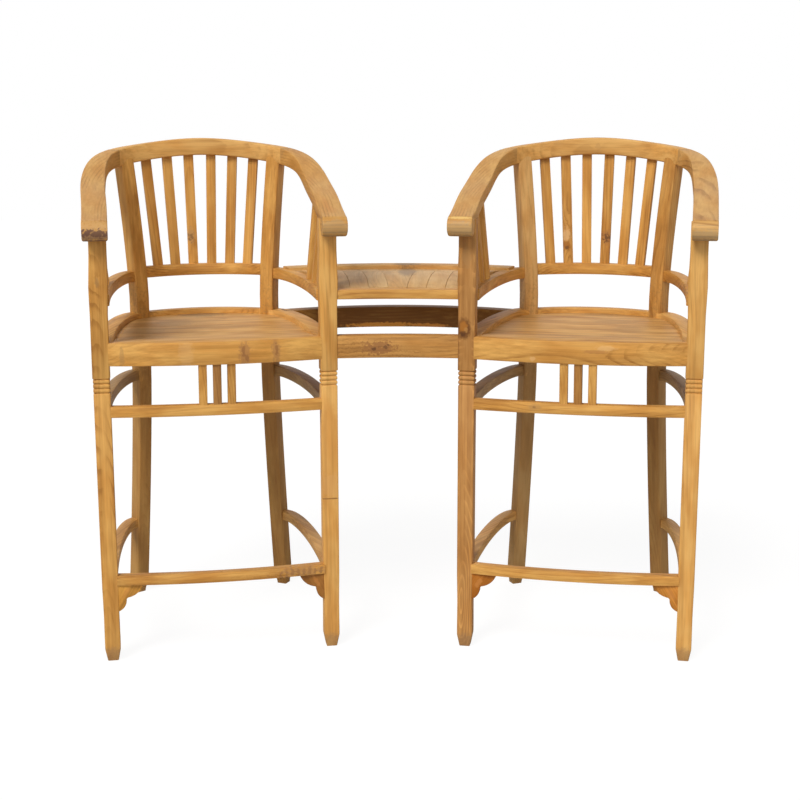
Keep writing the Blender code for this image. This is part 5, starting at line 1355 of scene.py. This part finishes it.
class DOUBLE_CHAIR_OT_back_rails(bpy.types.Operator):
    """Lower rails of the backs and of the sides, under the slats"""
    bl_idname = "double_chair.back_rails"
    bl_label = "Lower back and side rails"

    def execute(self, context):
        radius = (post_centre(1, BACK_RAIL_TOP - BACK_RAIL_DEPTH / 2) - Vector((0.0, RING_CENTRE_Y))).length
        path = arc_path((0.0, RING_CENTRE_Y), radius, -POST_ANGLE, POST_ANGLE)
        piece = bent_rail("lower_back_rail", path, BACK_RAIL_WIDTH, BACK_RAIL_DEPTH, BACK_RAIL_TOP, THIN_ROUNDING, 28)
        both_chairs(piece, (1, 0, 0), (0, -1, 0))
        side_rails("lower_side_rail_", LOWER_RAIL_TOP, LOWER_RAIL_DEPTH, LOWER_RAIL_X)
        return {"FINISHED"}


class DOUBLE_CHAIR_OT_stretchers(bpy.types.Operator):
    """Upper stretchers with their spindles, lower side stretchers and footrests"""
    bl_idname = "double_chair.stretchers"
    bl_label = "Stretchers and footrests"

    def execute(self, context):
        upper = ("upper_front_stretcher", LEG_LOW_SIZE, FRONT_SETBACK, STRETCHER_WIDTH, STRETCHER_DEPTH, STRETCHER_TOP,
                 STRETCHER_BOW)
        footrest = ("footrest", LEG_LOW_SIZE, FOOTREST_SETBACK, FOOTREST_WIDTH, FOOTREST_DEPTH, FOOTREST_TOP,
                    FOOTREST_BOW)
        for rail in (upper, footrest):
            both_chairs(bowed_rail(*rail), (1, 0, 0), (0, -1, 0))
        for name, top, depth in (("upper", STRETCHER_TOP, STRETCHER_DEPTH), ("lower", FOOTREST_TOP, FOOTREST_DEPTH)):
            side_rails(name + "_side_stretcher_", top, depth, STRETCHER_X, lean=0.4, upright=True)
        foot_y = leg_face() + STRETCHER_WIDTH / 2 - STRETCHER_BOW
        head_y = leg_face() + SEAT_FRONT_WIDTH / 2 - SEAT_BOW
        for number in (-1, 0, 1):
            start = Vector((number * SPINDLE_PITCH, foot_y, STRETCHER_TOP - SINK))
            end = Vector((number * SPINDLE_PITCH, head_y, chair().seat_top - SEAT_RAIL_DEPTH + SINK))
            width = chair().spindle_width
            piece = stick("spindle_%d" % (number + 2), start, end, width, width, (1, 0, 0))
            both_chairs(piece, (0, 0, 1), (0, -1, 0), node="upper_front_stretcher")
        return {"FINISHED"}


class DOUBLE_CHAIR_OT_brackets(bpy.types.Operator):
    """Two-lobed corner brackets under the footrests"""
    bl_idname = "double_chair.brackets"
    bl_label = "Corner brackets"

    def execute(self, context):
        edge = chair().leg_half_spacing - LEG_LOW_SIZE / 2 + BRACKET_SINK
        top = FOOTREST_TOP - FOOTREST_DEPTH
        end = Vector((edge - BRACKET_REACH, top - SINK))
        notch = Vector((edge - BRACKET_NOTCH[0], top - BRACKET_NOTCH[1]))
        step = notch + Vector((LOBE_STEP, -LOBE_STEP))
        foot = Vector((edge, top - BRACKET_DROP))
        outline = [Vector((edge, top)), Vector((edge - BRACKET_REACH, top))]
        outline += bowed_path(end, notch, LOBE_BOW, 10) + bowed_path(step, foot, LOBE_BOW, 10)
        for word, side in SIDES:
            piece = sawn_board("bracket_" + word, [(side * p.x, p.y) for p in outline], 0.0, BRACKET_THICKNESS)
            piece.matrix_world = Matrix(((1, 0, 0, 0), (0, 0, 1, -chair().leg_width / 2 + BRACKET_SETBACK),
                                         (0, 1, 0, 0), (0, 0, 0, 1)))
            settle(piece)
            outward(piece)
            apply(piece, "BEVEL", width=BRACKET_ROUNDING, segments=2, **EVERY_CORNER)
            both_chairs(piece, (side * -0.6, 0, 1), (0, -1, 0), node="footrest")
        return {"FINISHED"}


class DOUBLE_CHAIR_OT_seat_boards(bpy.types.Operator):
    """Five boards in each seat, dipping behind the front rail and fitted inside the ring of rails"""
    bl_idname = "double_chair.seat_boards"
    bl_label = "Seat boards"

    def execute(self, context):
        top = chair().seat_top
        half = chair().leg_half_spacing
        y = leg_face() + SEAT_FRONT_WIDTH / 2
        front = bowed_path((-half, y), (half, y), SEAT_BOW, 32)
        right = side_path(1, top, SEAT_SIDE_X, 0.0)
        left = flipped(right)
        back = arc_path((0.0, RING_CENTRE_Y), RING_RADIUS, POST_ANGLE, -POST_ANGLE)
        legs = []
        for side in (1, -1):
            legs += [(chair().leg_width, (side * half, 0.0, top), 0.0),
                     (chair().post_width, (*post_centre(side, top), top), -side * POST_ANGLE)]
        rails = ((front, SEAT_FRONT_WIDTH), (right, SEAT_SIDE_WIDTH), (left, SEAT_SIDE_WIDTH), (back, SEAT_BACK_WIDTH))
        opening = opening_in(front[1:-1] + right[:0:-1] + back + left[1:], top - 0.06, top + 0.03, rails, legs)
        start = min(p.y for p in front)
        width = (RING_CENTRE_Y + RING_RADIUS - start) / SEAT_BOARDS
        for number in range(SEAT_BOARDS):
            low = start + width * number + (GAP if number else 0.0)
            high = start + width * (number + 1) - GAP
            piece = fitted_board("seat_board_%d" % (number + 1), SEAT_BOARD_REACH, low, high,
                                 chair().board_thickness, SEAT_BOARD_STEPS, seat_height, opening)
            both_chairs(piece, (1, 0, 0), (0, 0, 1), node="seat_panel", slot="weathered_teak")
        discard([opening])
        return {"FINISHED"}


class DOUBLE_CHAIR_OT_table_rails(bpy.types.Operator):
    """Rails round the table and the aprons below it"""
    bl_idname = "double_chair.table_rails"
    bl_label = "Table rails and aprons"

    def execute(self, context):
        seat_top = chair().seat_top
        table_rear = rear_path(TABLE_REAR_Y, TABLE_REAR_RADIUS, LOWER_RAIL_TOP - LOWER_RAIL_DEPTH / 2, LOWER_RAIL_X)
        apron_rear = rear_path(REAR_APRON_Y, REAR_APRON_RADIUS, seat_top - SEAT_RAIL_DEPTH / 2, SEAT_SIDE_X, 0.0)
        for name, path, width, depth, top in (
                ("table_front_rail", table_front_path(TABLE_FRONT_WIDTH), TABLE_FRONT_WIDTH, TABLE_FRONT_DEPTH,
                 TABLE_FRONT_TOP),
                ("table_rear_rail", table_rear, TABLE_REAR_WIDTH, TABLE_REAR_DEPTH, TABLE_REAR_TOP),
                ("lower_front_apron", table_front_path(FRONT_APRON_WIDTH), FRONT_APRON_WIDTH, SEAT_RAIL_DEPTH,
                 seat_top),
                ("lower_rear_apron", apron_rear, REAR_APRON_WIDTH, SEAT_RAIL_DEPTH, seat_top)):
            piece = bent_rail(name + "_wood", path, width, depth, top, FRONT_ROUNDING, SIDE_CUTS)
            of_table = "table" in name
            finish(piece, name, "honey_teak" if of_table else "amber_teak", grain=(1, 0, 0),
                   face=(0, 0, 1) if of_table else (0, -1, 0), **TABLE_WOODS[name])
        return {"FINISHED"}


class DOUBLE_CHAIR_OT_table_boards(bpy.types.Operator):
    """Eleven boards that fan out to the back of the table and rise to a low crown"""
    bl_idname = "double_chair.table_boards"
    bl_label = "Table boards"

    def execute(self, context):
        top = table().top
        middle = LOWER_RAIL_TOP - LOWER_RAIL_DEPTH / 2
        front = table_front_path(TABLE_FRONT_WIDTH, 0.0)
        rear = rear_path(TABLE_REAR_Y, TABLE_REAR_RADIUS, middle, LOWER_RAIL_X)
        rail = [to_world(p, RIGHT) for p in side_path(1, middle, LOWER_RAIL_X)]
        right = [p for p in rail[1:] if p.x < rear[-1].x - 0.002]
        legs = []
        for side in (LEFT, RIGHT):
            legs += [(chair().leg_width, stood(side, chair().leg_half_spacing, 0.0, top), -side * TOE_IN),
                     (chair().post_width, stood(side, *post_centre(1, top), top), side * (POST_ANGLE - TOE_IN))]
        rails = ((front, TABLE_FRONT_WIDTH), (rear, TABLE_REAR_WIDTH), (rail, SIDE_RAIL_WIDTH),
                 (flipped(rail), SIDE_RAIL_WIDTH))
        opening = opening_in(front[1:-1] + right[::-1] + rear[::-1] + flipped(right), 0.80, 0.92, rails, legs)
        y_front = min(p.y for p in front) - 0.01
        y_back = max(p.y for p in rear) + 0.01
        for number in range(-SIDE_BOARDS, SIDE_BOARDS + 1):
            piece = fitted_board("table_board_%d" % (number + SIDE_BOARDS + 1), 1.0, y_front, y_back,
                                 table().board_thickness, TABLE_BOARD_STEPS, table_height, opening,
                                 partial(board_sides, number))
            # The strong grey of the boards is partly weathered wood and partly a painted reflection of the white
            # backdrop along the grazing top.
            finish(piece, "table_top", "weathered_teak", grain=(0, 1, 0), face=(0, 0, 1), seed=161.0 + number,
                   tone=TABLE_TONES[number + SIDE_BOARDS], figure=0.30, grey=0.70, pith=(0.03, -0.04), contrast=0.7,
                   marks=[TABLE_STAIN] if number in STAINED_BOARDS else [])
        discard([opening])
        teak(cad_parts["table_batten"], (1, 0, 0), (0, 0, -1), 175.0)
        return {"FINISHED"}


class DOUBLE_CHAIR_OT_stage(bpy.types.Operator):
    """Plain pale floor, soft light and the camera"""
    bl_idname = "double_chair.stage"
    bl_label = "Stage"

    def execute(self, context):
        scene = context.scene
        bpy.ops.object.select_all(action="DESELECT")
        bpy.ops.mesh.primitive_plane_add(size=FLOOR_SIZE, location=FLOOR_PLACE)
        floor = bpy.context.active_object
        floor.name = "floor"
        settle(floor)
        material = bpy.data.materials.new("pale floor")
        material.use_nodes = True
        tree = material.node_tree
        shader = tree.nodes["Principled BSDF"]
        shader.inputs["Base Color"].default_value = (*scene.double_chair_teak.floor, 1.0)
        shader.inputs["Roughness"].default_value = 0.9
        shader.inputs["Specular IOR Level"].default_value = 0.1
        glow = wire(tree, "ShaderNodeEmission", Color=WHITE, Strength=FLOOR_GLOW)
        rays = wire(tree, "ShaderNodeLightPath")
        seen = math_node(tree, "MULTIPLY", rays.outputs["Is Camera Ray"], FLOOR_GLOW_SHARE)
        both = wire(tree, "ShaderNodeMixShader", i0=seen, i1=shader.outputs[0], i2=glow.outputs[0])
        tree.links.new(both.outputs[0], tree.nodes["Material Output"].inputs["Surface"])
        floor.data.materials.append(material)

        world = bpy.data.worlds.new("Studio")
        scene.world = world
        world.use_nodes = True
        sky = world.node_tree
        back = sky.nodes["Background"]
        back.inputs["Color"].default_value = SKY
        back.inputs["Strength"].default_value = SKY_STRENGTH
        white = wire(sky, "ShaderNodeBackground", Color=WHITE, Strength=1.0)
        rays = wire(sky, "ShaderNodeLightPath")
        seen = math_node(sky, "MAXIMUM", rays.outputs["Is Camera Ray"],
                         math_node(sky, "MAXIMUM", rays.outputs["Is Glossy Ray"], rays.outputs["Is Transmission Ray"]))
        both = wire(sky, "ShaderNodeMixShader", i0=seen, i1=back.outputs[0], i2=white.outputs[0])
        sky.links.new(both.outputs[0], sky.nodes["World Output"].inputs["Surface"])

        for name, (place, strength, spread, sheen) in LIGHTS.items():
            lamp = bpy.data.lights.new(name, "SUN")
            lamp.energy = strength
            lamp.angle = math.radians(spread)
            lamp.color = LIGHT_COLOUR
            stand = bpy.data.objects.new(name, lamp)
            scene.collection.objects.link(stand)
            stand.location = Vector(place) * LIGHT_DISTANCE
            stand.visible_glossy = sheen
            stand.rotation_euler = (-Vector(place)).to_track_quat("-Z", "Y").to_euler()

        camera = bpy.data.cameras.new("camera")
        camera.sensor_width = SENSOR
        camera.lens = LENS
        eye = bpy.data.objects.new("camera", camera)
        scene.collection.objects.link(eye)
        eye.matrix_world = (Matrix.Translation(EYE) @ Matrix.Rotation(math.radians(EYE_TURN), 4, "Z")
                            @ Matrix.Rotation(math.pi / 2 - math.radians(EYE_DIP), 4, "X")
                            @ Matrix.Rotation(math.radians(EYE_ROLL), 4, "Z"))
        scene.camera = eye
        scene.view_settings.view_transform = "Standard"
        return {"FINISHED"}


STEPS = (DOUBLE_CHAIR_OT_front_legs, DOUBLE_CHAIR_OT_back_legs, DOUBLE_CHAIR_OT_arms, DOUBLE_CHAIR_OT_crests,
         DOUBLE_CHAIR_OT_back_slats, DOUBLE_CHAIR_OT_side_slats, DOUBLE_CHAIR_OT_seat_rails,
         DOUBLE_CHAIR_OT_back_rails, DOUBLE_CHAIR_OT_stretchers, DOUBLE_CHAIR_OT_brackets,
         DOUBLE_CHAIR_OT_seat_boards, DOUBLE_CHAIR_OT_table_rails, DOUBLE_CHAIR_OT_table_boards,
         DOUBLE_CHAIR_OT_stage)


class DOUBLE_CHAIR_PT_panel(bpy.types.Panel):
    """Sizes, colours and steps of the teak double chair"""
    bl_idname = "DOUBLE_CHAIR_PT_panel"
    bl_label = "Teak double chair"
    bl_space_type = "VIEW_3D"
    bl_region_type = "UI"
    bl_category = "Double chair"

    def draw(self, context):
        for group in (context.scene.double_chair, context.scene.double_chair_table, context.scene.double_chair_teak):
            box = self.layout.box()
            for name in group.__annotations__:
                box.prop(group, name)
        for step in STEPS:
            self.layout.operator(step.bl_idname)


CLASSES = (ChairSizes, TableSizes, TeakColours) + STEPS + (DOUBLE_CHAIR_PT_panel,)


def register():
    for item in CLASSES:
        bpy.utils.register_class(item)
    bpy.types.Scene.double_chair = bpy.props.PointerProperty(type=ChairSizes)
    bpy.types.Scene.double_chair_table = bpy.props.PointerProperty(type=TableSizes)
    bpy.types.Scene.double_chair_teak = bpy.props.PointerProperty(type=TeakColours)


def unregister():
    del bpy.types.Scene.double_chair_teak
    del bpy.types.Scene.double_chair_table
    del bpy.types.Scene.double_chair
    for item in reversed(CLASSES):
        bpy.utils.unregister_class(item)


def main():
    register()
    for step in STEPS:
        group, name = step.bl_idname.split(".")
        getattr(getattr(bpy.ops, group), name)()


if __name__ == "__main__":
    main()
